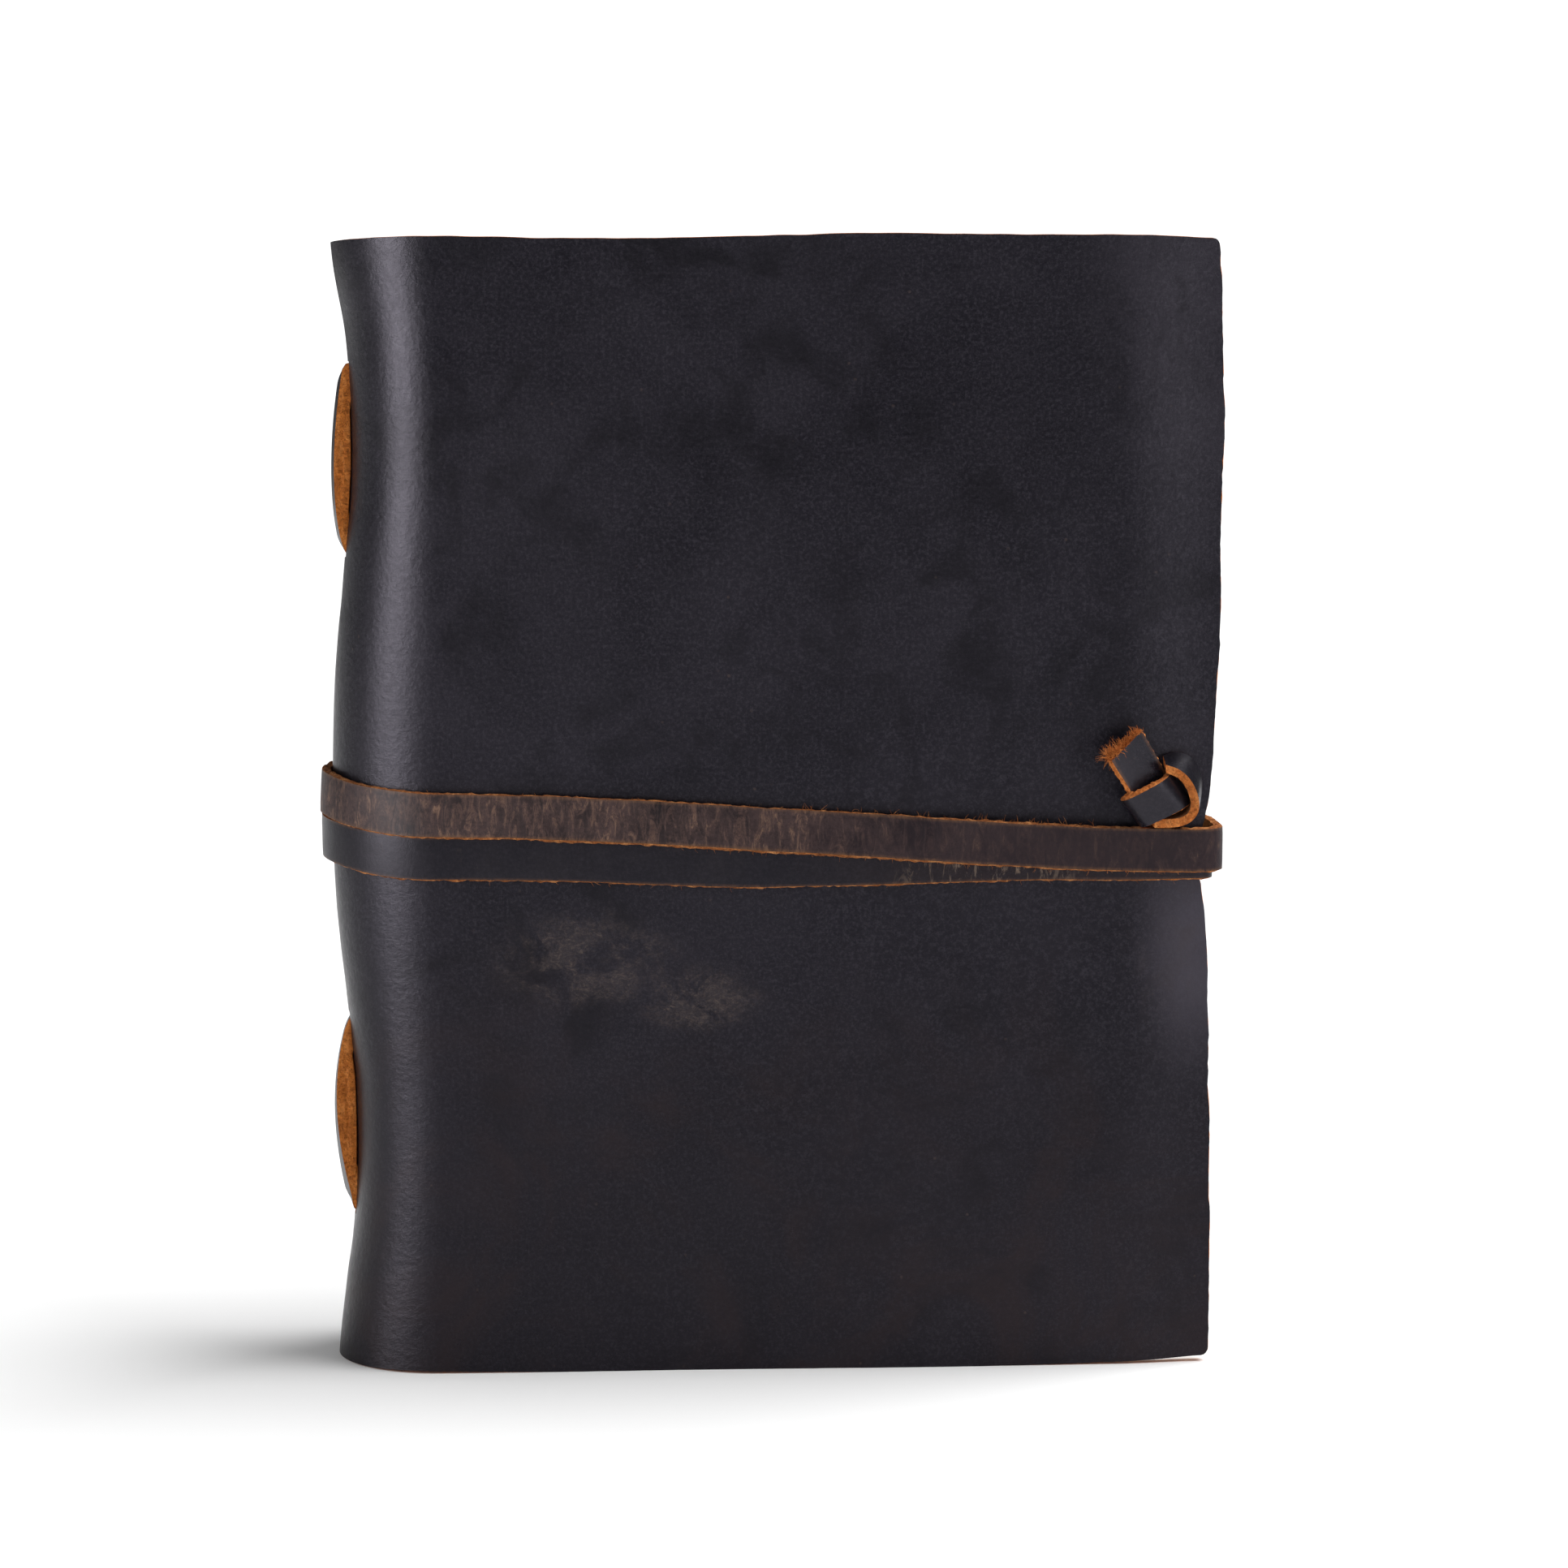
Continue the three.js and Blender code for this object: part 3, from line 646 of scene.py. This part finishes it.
def loop_stations(step, side, height, lift_low, lift_high):
    """Stations of a strap that follows the hide from the middle of the spine to the fore-edge.

    height is that of the strap's middle line; lift_low and lift_high are how far its lower and upper edges
    stand off the hide."""
    s = np.arange(0.0, s_of(EDGE_X - EDGE_R), step)
    x = x_of(s)
    z = height(s, x)
    half = STRAP_W / 2
    low = hide_at(s, z - half, lift_low(s, x, z) + STRAP_T / 2, side)
    high = hide_at(s, z + half, lift_high(s, x, z) + STRAP_T / 2, side)
    return (low + high) / 2, high - low


def edge_stations(last, lift, side, end_z):
    """The bend round the cover's edge and the straight stretch to the middle of the fore-edge."""
    steps = 7
    top, z = abs(last[1]), last[2]
    radius = EDGE_R + lift + STRAP_T / 2
    centre = np.array([last[0] + 0.6, top - radius])
    points = []
    for i in range(1, steps + 1):
        turn = math.pi / 2 * (1 - i / steps)
        place = centre + radius * np.array([math.cos(turn), math.sin(turn)])
        points.append([place[0], side * place[1], mix(z, end_z, 0.18 * i / steps)])
    start = np.array(points[-1])
    finish = np.array([start[0], side * 0.02, end_z])
    for i in range(1, 15):
        t = i / 14
        bow = np.array([0.35 * math.sin(math.pi * t) - 0.8 * t * t, 0.0, 0.0])
        points.append(mix(start, finish, t) + bow)
    return np.array(points)


def strap_turn(name, side, height, lifts, end_lift, end_z, grain, seed, hairs=(), dive=False):
    """One turn of the strap over half of the book. A diving turn goes in between the covers at the fore-edge.

    hairs are rows of loose fibres, each (lowest x, highest x, edge, count, longest)."""
    middle, across = loop_stations(0.8, side, height, *lifts)
    last = middle[-1]
    tail = dive_stations(last) if dive else edge_stations(last, end_lift, side, end_z)
    middle = np.concatenate([middle, tail])
    upright = repeated((0, 0, STRAP_W), len(tail))
    across = np.concatenate([across, upright])
    across = unit(across)
    normal = unit(np.cross(tangents(middle), across))
    normal *= np.sign(np.sum(normal[:40] * (middle[:40] - [R, 0, 0]) * [1, 1, 0]))
    build = Build()
    ribbon(build, middle, across, normal, STRAP_W, STRAP_T, seed=seed)
    draw = np.random.default_rng(seed + 90)
    for low_x, high_x, edge, count, longest in hairs:
        inside = np.flatnonzero((middle[:, 0] > low_x) & (middle[:, 0] < high_x))
        picks = draw.choice(inside, count)
        places = middle[picks] + across[picks] * edge * STRAP_W / 2
        places += normal[picks] * draw.uniform(-0.5, 0.7, (count, 1)) * STRAP_T / 2
        fibres(build, places, across[picks] * edge + 0.5 * normal[picks], 0.35, longest, seed + 91)
    return build.strip(name, [grain, STRAP_EDGE, FLESH])


def dive_stations(last):
    """From the back cover round its edge and in between the covers, to the middle of the fore-edge."""
    out = EDGE_X + ON_HIDE + STRAP_T / 2
    path = [
        last, (out - 0.6, last[1], last[2]), (out, last[1] - 1.6, DIVE_Z), (out, R - HIDE - 1.0, DIVE_Z),
        (out - 1.2, R - HIDE - 3.6, DIVE_Z + 0.2), (CROSS_X, R - HIDE - 6.5, DIVE_Z + 1.3),
        (CROSS_X, 0.02, BETWEEN_Z - 0.1),
    ]
    return resampled(rounded(path), 0.5)[1:]


def along(x):
    return np.clip((x - FLAT_X) / (EDGE_X - FLAT_X), 0, 1)


# The height of each turn's middle line, where s is its place along the hide.
def lower_front(s, x):
    sag = 1.6 * np.sin(math.pi * smooth(20, 140, x))
    return LOWER_Z - 2.6 * smooth(0, QUARTER, s) - sag - 0.8 * smooth(90, 150, x)


def upper_front(s, x):
    return UPPER_Z - 2.9 * smooth(0, QUARTER, s) - 7.1 * smooth(8, 165, x)


def lower_back(s, x):
    return LOWER_Z + 2.5 * smooth(0, QUARTER, s) - 14.5 * along(x)


def upper_back(s, x):
    return UPPER_Z + 4.5 * smooth(0, QUARTER, s) - 16.0 * along(x)


# How far a turn's lower and upper edges stand off the hide. The upper front turn climbs over the lower one.
def flat_lift(s, x, z):
    return np.full_like(x, ON_HIDE)


def hidden_by_upper(s, x, z):
    return (lower_front(s, x) + STRAP_W / 2) - (z - STRAP_W / 2)


def over_low(s, x, z):
    return mix(ON_HIDE, ON_STRAP, smooth(-0.6, 0.6, hidden_by_upper(s, x, z)))


def over_high(s, x, z):
    return mix(ON_HIDE, ON_STRAP, smooth(2.0, 6.0, hidden_by_upper(s, x, z)))


def bend_with(obj, body, *nodes):
    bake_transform(obj)
    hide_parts(*nodes)


def wraps():
    """The turns over the front, and those over the back, each with its half of the spine."""
    low = strap_turn("strap_lower_front", -1, lower_front, (flat_lift, flat_lift), ON_HIDE, UNDER_Z,
                     STRAP_DARK, 31, [(20, 150, -1, 46, 1.3)])
    bend_with(low, "front_board", "strap_front_lower_pass", "strap_spine_lower_pass")
    high = strap_turn("strap_upper_front", -1, upper_front, (over_low, over_high), ON_STRAP, OVER_Z,
                      STRAP, 41, [(78, 136, 1, 80, 1.9), (60, 150, -1, 70, 1.4), (10, 78, 1, 18, 0.9)])
    bend_with(high, "front_board", "strap_front_upper_pass", "strap_spine_upper_pass")
    second = strap_turn("strap_upper_back", 1, upper_back, (flat_lift, flat_lift), ON_HIDE, UNDER_Z,
                        STRAP, 51, [(10, 150, -1, 50, 1.4), (10, 150, 1, 40, 1.2)])
    bend_with(second, "back_board", "strap_back_second_run")
    first = strap_turn("strap_lower_back", 1, lower_back, (flat_lift, flat_lift), ON_HIDE, DIVE_Z,
                       STRAP_DARK, 61, [(10, 150, -1, 50, 1.4), (10, 150, 1, 40, 1.2)], dive=True)
    bend_with(first, "back_board", "strap_back_first_run")


def rounded(points, passes=3):
    """A path with its corners cut smooth; its two ends stay."""
    points = np.asarray(points, float)
    for _ in range(passes):
        a, b = points[:-1], points[1:]
        inner = np.stack([0.75 * a + 0.25 * b, 0.25 * a + 0.75 * b], 1).reshape(-1, points.shape[1])
        points = np.concatenate([points[:1], inner[1:-1], points[-1:]])
    return points


def resampled(points, step):
    length = lengths(points[:, :3])
    count = max(int(length[-1] / step), 2)
    at = np.linspace(0, length[-1], count + 1)
    return np.stack([np.interp(at, length, points[:, k]) for k in range(points.shape[1])], -1)


def upright_ribbon(name, path, grain, seed, hairs):
    """A strip whose width stands upright, along a path of (x, y, z), with some loose fibres."""
    middle = resampled(rounded(path), 0.5)
    tangent = tangents(middle)
    up = repeated((0, 0, 1), len(middle))
    normal = -unit(np.cross(up, tangent))
    across = -unit(np.cross(tangent, normal))
    build = Build()
    ribbon(build, middle, across, normal, STRAP_W, STRAP_T, seed=seed)
    draw = np.random.default_rng(seed)
    picks = draw.integers(3, len(middle) - 3, hairs)
    edges = draw.choice([-1.0, 1.0], hairs)[:, None]
    places = middle[picks] + across[picks] * edges * STRAP_W / 2
    fibres(build, places, across[picks] * edges + 0.4 * normal[picks], 0.35, 1.3, seed + 1)
    return build.strip(name, [grain, STRAP_EDGE, FLESH])


def loose_end():
    """The last bend over the fore-edge and the loose tail, in one strip."""
    out = EDGE_X + ON_STRAP + STRAP_T / 2
    face = R + ON_STRAP + STRAP_T / 2
    start = EDGE_X - EDGE_R
    height = upper_back(QUARTER, start) + TAIL_RISE
    path = [(out - 0.8, 0.02, OVER_Z), (out - 0.1, 9.0, mix(OVER_Z, height, 0.5)), (out, face - 3.2, height),
            (out, face, height), (out - 3.2, face, height)]
    for t in np.linspace(0, 1, 9):
        x = start - 0.4 - TAIL_L * t
        z = upper_back(QUARTER, x) + TAIL_RISE - TAIL_DROP * t
        path.append((x, face + 0.25 * math.sin(5.0 * t) * t, z))
    tail = upright_ribbon("strap_loose_end", path, STRAP, 81, 70)
    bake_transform(tail)
    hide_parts("strap_tail_bend", "strap_tail")


def anchor():
    """The strap's start: in through the slit of the front cover, and out between the covers."""
    inside = -(R - HIDE) + 0.3 + STRAP_T / 2
    run = upright_ribbon("strap_anchor", [
        (SLIT_X, -R - 1.0, SLIT_Z), (SLIT_X, -R + 1.2, SLIT_Z), (SLIT_X + 0.1, inside, SLIT_Z),
        (SLIT_X + 1.6, inside + 0.1, SLIT_Z - 0.4), (150.6, inside, 99.2), (CROSS_X, inside + 0.2, 98.6),
        (CROSS_X, inside + 3.0, 97.8), (CROSS_X, -0.02, BETWEEN_Z + 0.1),
    ], STRAP_DARK, 91, 30)
    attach(run, "front_board")
    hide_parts("strap_anchor_run")


KNOT_SHIFT = (-1.6, 1.4)
OUT = np.array([0.0, -1.0, 0.0])   # away from the front cover


def knot_point(x, z, lift):
    """A point of the knot, lift off the front cover."""
    return np.array([x + KNOT_SHIFT[0], -R - lift, z + KNOT_SHIFT[1]])


def knot_stub(build, draw):
    """The square end of the strap, frayed where it is cut."""
    head, under = knot_point(140.9, 112.2, 6.2), knot_point(147.0, 102.4, 3.0)
    middle = resampled(np.array([head, mix(head, under, 0.5) + 0.15 * OUT, under]), 0.5)
    across = repeated(unit([0.74, 0.33, 0.66]), len(middle))
    tangent = tangents(middle)
    normal = unit(np.cross(tangent, across))
    normal *= np.sign(normal @ OUT)[:, None]
    ribbon(build, middle, across, normal, 8.0, STRAP_T, seed=101)
    count = 420
    spread = draw.uniform(-0.5, 0.5, count)
    places = head + spread[:, None] * 7.4 * across[0] + draw.uniform(-0.5, 0.5, (count, 1)) * 1.5 * normal[0]
    leaning = -tangent[0] + 0.35 * normal[0] - 0.6 * across[0] * (spread[:, None] < -0.1)
    fibres(build, places, leaning, 0.5, 1.9, 103, 0.07)
    fibres(build, places[spread < -0.2], leaning[spread < -0.2], 1.4, 3.9, 104, 0.05)


def knot_wrap(build):
    """The short turn that arches over the stub. arch is its distance along the hide, and its lift."""
    start, way = knot_point(144.2, 100.8, -R), unit([0.90, 0, 0.44])
    arch = [(5.6, 1.5), (2.0, 1.4), (0.0, 1.7), (-1.5, 3.3), (-0.9, 5.2), (1.2, 5.9), (4.2, 6.1), (6.2, 5.6),
            (7.5, 3.9), (7.9, 1.8)]
    path = np.array([start + u * way + np.array([0, -R - lift, 0]) for u, lift in arch])
    middle = resampled(rounded(path), 0.4)
    lean = np.linspace(0.62, 0.12, len(middle))
    across = unit(np.stack([0 * lean + 0.58, lean, 0 * lean - 0.77], -1))
    normal = unit(np.cross(tangents(middle), across))
    normal *= np.sign(normal[len(normal) // 2] @ OUT)
    ribbon(build, middle, across, normal, 6.9, STRAP_T, seed=111)


def knot_loop(build, draw):
    """A bend of strap that stands on its edge: near is its raw edge in front, far the one on the hide."""
    near = [(148.4, 108.0, 5.6), (150.2, 107.5, 5.6), (151.8, 106.2, 5.6), (153.1, 104.2, 5.6),
            (153.8, 102.0, 5.6), (153.5, 100.0, 5.6), (151.9, 98.6, 5.2), (149.4, 98.2, 4.4),
            (146.6, 98.2, 3.8)]
    far = [(148.8, 108.9), (151.2, 109.8), (153.6, 109.0), (155.0, 106.4), (155.1, 103.2), (154.2, 100.5),
           (152.3, 99.0), (149.8, 98.5), (146.6, 98.4)]
    near = np.array([knot_point(*place) for place in near])
    far = np.array([knot_point(x, z, 0.4) for x, z in far])
    pair = resampled(rounded(np.concatenate([near, far], axis=1)), 0.4)
    low, high = pair[:, 3:], pair[:, :3]
    middle, across = (low + high) / 2, unit(high - low)
    normal = unit(np.cross(tangents(middle), across))
    normal *= np.sign(normal[len(normal) // 2][0])
    ribbon(build, middle, across, normal, 6.2, STRAP_T, seed=121)
    picks = draw.integers(2, len(middle) - 2, 60)
    fibres(build, high[picks], OUT - 0.5 * normal[picks], 0.3, 0.9, 122)


def knot():
    """A stopper knot: a square stub that passes under a short turn, and a loop of strap on its edge."""
    build = Build()
    draw = np.random.default_rng(5)
    knot_stub(build, draw)
    knot_wrap(build)
    knot_loop(build, draw)
    obj = build.strip("knot_of_strap", [STRAP_KNOT, RAW, FLESH])
    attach(obj, "front_board")
    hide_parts("strap_knot")


def lace_path(low, high, bow, peak, twist):
    """Stations of a lace, each (x, y, z, twist): out through the lower slit, up, and back up inside."""
    outer = []
    for t in np.linspace(0.06, 0.94, 15):
        rise = math.sin(math.pi * t ** peak) ** 0.75
        outer.append((mix(1.9, bow, rise), low + (high - low) * t, twist(t)))
    inner = 4.0
    points = [(3.0, low, 0), (2.2, low, 0), *outer, (2.2, high, 0), (3.0, high, 0), (inner, high - 1.2, 0),
              (inner, (low + high) / 2, 0), (inner, low + 1.2, 0), (3.0, low, 0)]
    points = rounded(np.array([(x, 0, z, a) for x, z, a in points]), 2)
    return resampled(points, 0.55)[:-1]


def lace_under(build, low, high):
    """The second strand of a lace, which lies on the spine under the bow."""
    z = np.linspace(low + 6.0, high - 6.0, 60)
    under = np.stack([spine_squeeze(z) - 0.8, 0 * z - 0.6, z], -1)
    sideways = repeated((0, 1, 0), len(z))
    outwards = repeated((-1, 0, 0), len(z))
    ribbon(build, under, sideways, outwards, 5.6, 1.8, seed=141)


def lace(name, node, low, high, bow, peak, twist):
    """A lace loop: a bow outside the spine, in through one slit, up inside the spine and out of the other.

    bow is the outer run's x at its furthest, peak moves that place up or down, and twist(t) is how far the
    lace turns its grain side to the front, in radians."""
    points = lace_path(low, high, bow, peak, twist)
    middle, turn = points[:, :3], points[:, 3]
    tangent = unit(np.roll(middle, -1, axis=0) - np.roll(middle, 1, axis=0))
    flat = repeated((0, -1, 0), len(middle))
    face = unit(np.cross(tangent, flat))
    face *= -np.sign(face[len(face) // 4][0])
    normal = face * np.cos(turn)[:, None] + flat * np.sin(turn)[:, None]
    across = unit(np.cross(tangent, normal))
    build = Build()
    ribbon(build, middle, across, normal, LACE_W, LACE_T, loop=True, rough=0.12, seed=131 + int(low))
    lace_under(build, low, high)
    draw = np.random.default_rng(int(low))
    front = across * np.where(across[:, 1] < 0, 1.0, -1.0)[:, None]
    outside = np.flatnonzero(middle[:, 0] < 1.0)
    picks = draw.choice(outside, 150)
    places = middle[picks] + front[picks] * LACE_W / 2 + normal[picks] * draw.uniform(-0.9, 0.9, (150, 1))
    directions = 0.5 * front[picks] + draw.choice([-1.0, 1.0], (150, 1)) * normal[picks]
    fibres(build, places, directions, 0.25, 0.8, 133)
    obj = build.strip(name, [STRAP_DARK, SUEDE, SUEDE])
    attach(obj, "book_spine")
    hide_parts(node)


def laces():
    lace("lace_upper", "spine_lace_upper", *LACE_UPPER, 0.0, 0.8, lambda t: 0.15)
    lace("lace_lower", "spine_lace_lower", *LACE_LOWER, -0.9, 1.1, lambda t: 0.26 - 0.24 * t)


# ------------ paper and thread
SHEETS = 5                     # folded sheets in a gathering
SHEET_T = 0.25
STRANDS = 3                    # of the sewing thread
LAY = 2.4                      # length in which a strand goes once round


def sheet_path(left, end, half, reach):
    """A folded sheet's middle line in plan: along one side, round the fold at the left, and back."""
    run = np.concatenate([np.linspace(left + half, 42, 15)[:-1], np.linspace(42, end, 14)])
    arc = np.linspace(-math.pi / 2, math.pi / 2, 9)[1:-1]
    front = np.stack([run[::-1], np.full(len(run), -reach)], -1)
    bend = np.stack([left + half - reach * np.cos(arc), reach * np.sin(arc)], -1)
    back = np.stack([run, np.full(len(run), reach)], -1)
    return np.concatenate([front, bend, back])


def signature(number):
    """One gathering: folded sheets one inside the other, with slightly uneven edges."""
    fold_low, fold_high = cad(f"signature_{number}_fold")
    _, leaf_high = cad(f"signature_{number}_leaves")
    left, right = fold_low[0] - ORIGIN[0], leaf_high[0] - ORIGIN[0]
    y_middle = (fold_low[1] + fold_high[1]) / 2 - ORIGIN[1]
    half = (fold_high[1] - fold_low[1]) / 2
    low, high = fold_low[2], fold_high[2]
    z = np.concatenate([[low, low + 1.0], np.linspace(low + 5, high - 5, 24), [high - 1.0, high]])
    build = Build()
    draw = np.random.default_rng(200 + number)
    slack = 0.10 * draw.standard_normal(1)[0]
    for k in range(SHEETS):
        reach = half * (k + 0.5) / SHEETS
        end = right - 0.35 * (SHEETS - 1 - k) / SHEETS - abs(draw.normal(0, 0.15))
        path = sheet_path(left, end, half, reach)
        x, tangent = path[:, 0], tangents(path)
        outwards = SHEET_T / 2 * np.stack([-tangent[:, 1], tangent[:, 0]], -1)
        deckle = 0.22 * waves(z, 0 * z, 7, 300 + number * 10 + k)
        trim = smooth(right - 22, right, x)
        sag = (0.12 + slack) * waves(x, 0 * x, 120, 400 + number) * smooth(20, 80, x)
        ends = 0.28 * waves(x, 0 * x, 11, 500 + number * 10 + k)
        rows = []
        for i, height in enumerate(z):
            at = path + np.stack([trim * deckle[i], sag], -1)
            uneven = ends if i in (0, len(z) - 1) else 0 * ends
            loop = np.concatenate([at + outwards, (at - outwards)[::-1]])
            lift = np.concatenate([uneven, uneven[::-1]])
            rows.append(np.stack([loop[:, 0], loop[:, 1] + y_middle, height + lift], -1))
        sheet(build, np.array(rows))
    obj = build.plain(f"gathering_{number}", PAPER)
    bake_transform(obj)
    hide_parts(f"signature_{number}_fold", f"signature_{number}_leaves")


def sheet(build, rows):
    """A thin folded sheet: rings round its outline, one above the other, closed at head and tail."""
    base = len(build.points)
    count, n = rows.shape[:2]
    build.points.extend(rows.reshape(-1, 3).tolist())
    for i in range(count - 1):
        for k in range(n):
            m = (k + 1) % n
            a, b = base + i * n, base + (i + 1) * n
            build.faces.append((a + k, a + m, b + m, b + k))
    half = n // 2
    for start in (base, base + (count - 1) * n):
        for k in range(half - 1):
            build.faces.append((start + k, start + k + 1, start + n - 2 - k, start + n - 1 - k))


def thread(name, node):
    """Sewing thread of three strands twisted round each other."""
    low, high = (corner - ORIGIN for corner in cad(node))
    radius = (high[2] - low[2]) / 2
    strand_r = radius / 2
    build = Build()
    y = np.linspace(low[1], high[1], 150)
    share = (y / high[1]) ** 2
    x = mix(low[0] + radius, high[0] - radius, share * (0.62 + 0.38 * share))
    path = np.stack([x, y, np.full_like(y, (low[2] + high[2]) / 2)], -1)
    up = repeated((0, 0, 1), len(y))
    side = unit(np.cross(tangents(path), up))
    for strand in range(STRANDS):
        phase = y * math.tau / LAY + strand * math.tau / STRANDS
        centre = path + strand_r * (np.cos(phase)[:, None] * side + np.sin(phase)[:, None] * up)
        turns = np.linspace(0, math.tau, 6, endpoint=False)
        rings = np.stack([centre + strand_r * (math.cos(a) * side + math.sin(a) * up) for a in turns], 1)
        build.skin(rings, [0] * 6, rings)
    obj = build.plain(name, LINEN)
    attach(obj, "book_spine")
    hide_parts(node)


# ------------ camera, lights and floor, in metres
FLOOR = 4.0                    # half the side of the floor
CAMERA_AIM = (79.35, -R, 106.4)   # in book millimetres
CAMERA_DISTANCE = 0.62
CAMERA_HEIGHT = 0.170
CAMERA_YAW = math.radians(3.0)
LENS = 80.45
WORLD_SEEN = 1.2               # strength of the world to the camera,
WORLD_REFLECTED = 0.10         # in reflections,
WORLD_FILL = 0.26              # and added to that for diffuse light


def camera():
    """A long lens a little above the middle of the book, turned slightly towards the spine."""
    aim = (np.array(CAMERA_AIM) + ORIGIN) / 1000
    data = bpy.data.cameras.new("camera")
    data.lens = LENS
    data.sensor_width = 36
    data.clip_start = 0.01
    view = placed("camera", data)
    back = CAMERA_DISTANCE * np.array([math.sin(CAMERA_YAW), math.cos(CAMERA_YAW)])
    place = Vector((aim[0] - back[0], aim[1] - back[1], CAMERA_HEIGHT))
    view.location = place
    view.rotation_euler = (Vector(aim) - place).to_track_quat("-Z", "Y").to_euler()
    bpy.context.scene.camera = view


def gloss_box(name, place, aim, power, width, height):
    """A soft box that shows only in reflections, as a strip of light does beside a dark object."""
    data = bpy.data.lights.new(name, "AREA")
    data.energy = power
    data.shape = "RECTANGLE"
    data.size = width
    data.size_y = height
    lamp = placed(name, data)
    lamp.location = place
    lamp.rotation_euler = (Vector(aim) - Vector(place)).to_track_quat("-Z", "Y").to_euler()
    lamp.visible_diffuse = False


def backdrop():
    """A white world: brightest to the camera, dim in reflections, and between the two as a fill light."""
    world = bpy.data.worlds.new("studio")
    world.use_nodes = True
    tree = world.node_tree
    path = tree.nodes.new("ShaderNodeLightPath")
    seen = tree.nodes.new("ShaderNodeMapRange")
    seen.inputs["To Min"].default_value = WORLD_REFLECTED
    seen.inputs["To Max"].default_value = WORLD_SEEN
    tree.links.new(path.outputs["Is Camera Ray"], seen.inputs["Value"])
    strength = tree.nodes.new("ShaderNodeMath")
    strength.operation = "MULTIPLY_ADD"
    strength.inputs[1].default_value = WORLD_FILL
    tree.links.new(path.outputs["Is Diffuse Ray"], strength.inputs[0])
    tree.links.new(seen.outputs[0], strength.inputs[2])
    tree.links.new(strength.outputs[0], tree.nodes["Background"].inputs["Strength"])
    tree.nodes["Background"].inputs["Color"].default_value = (1, 1, 1, 1)
    bpy.context.scene.world = world


def floor_plane():
    floor = Nodes("floor_white")
    speck = floor.noise(floor.add("TexCoord").outputs["Object"], 30, 3)
    white = floor.blend(speck, (0.93, 0.93, 0.93), (0.95, 0.95, 0.95))
    floor.finish(Base_Color=white, Roughness=0.9)
    mesh = bpy.data.meshes.new("floor")
    corners = [(FLOOR * x, FLOOR * y, 0) for x, y in ((-1, -1), (1, -1), (1, 1), (-1, 1))]
    mesh.from_pydata(corners, [], [(0, 1, 2, 3)])
    mesh.materials.append(floor.material)
    plane = placed("floor", mesh)


def studio():
    """White floor and background, a tall soft box at the left, a soft key from the right and above."""
    backdrop()
    floor_plane()
    sun = bpy.data.lights.new("sky", "SUN")
    sun.energy = 3.6
    sun.angle = math.radians(40)
    lamp = placed("sky", sun)
    lamp.rotation_euler = Vector((0.50, 0.02, 0.88)).to_track_quat("Z", "Y").to_euler()
    gloss_box("left_box", (-0.78, -0.61, 0.30), (-0.07, 0, 0.12), 23.5, 0.40, 0.8)
    gloss_box("right_box", (0.66, -0.78, 0.16), (0.06, 0, 0.06), 2.1, 0.24, 0.4)
    bpy.context.scene.view_settings.view_transform = "Standard"


# ------------ the journal
LACE_SLITS = [(-1.0, 3.8, z - 1.3, z + 1.3) for z in (*LACE_LOWER, *LACE_UPPER)]
STRAP_SLIT = (s_of(SLIT_X) - 1.3, s_of(SLIT_X) + 1.3, SLIT_Z - 4.4, SLIT_Z + 4.4)
hide_half("cover_hide_front", -1, ["front_cover", "spine"], [*LACE_SLITS, STRAP_SLIT])
hide_half("cover_hide_back", 1, ["back_cover"], LACE_SLITS)
wraps()
loose_end()
anchor()
knot()
laces()
for number in range(1, 9):
    signature(number)
for place in ("head", "upper", "lower", "tail"):
    thread(f"thread_{place}", f"sewing_thread_{place}")
camera()
studio()
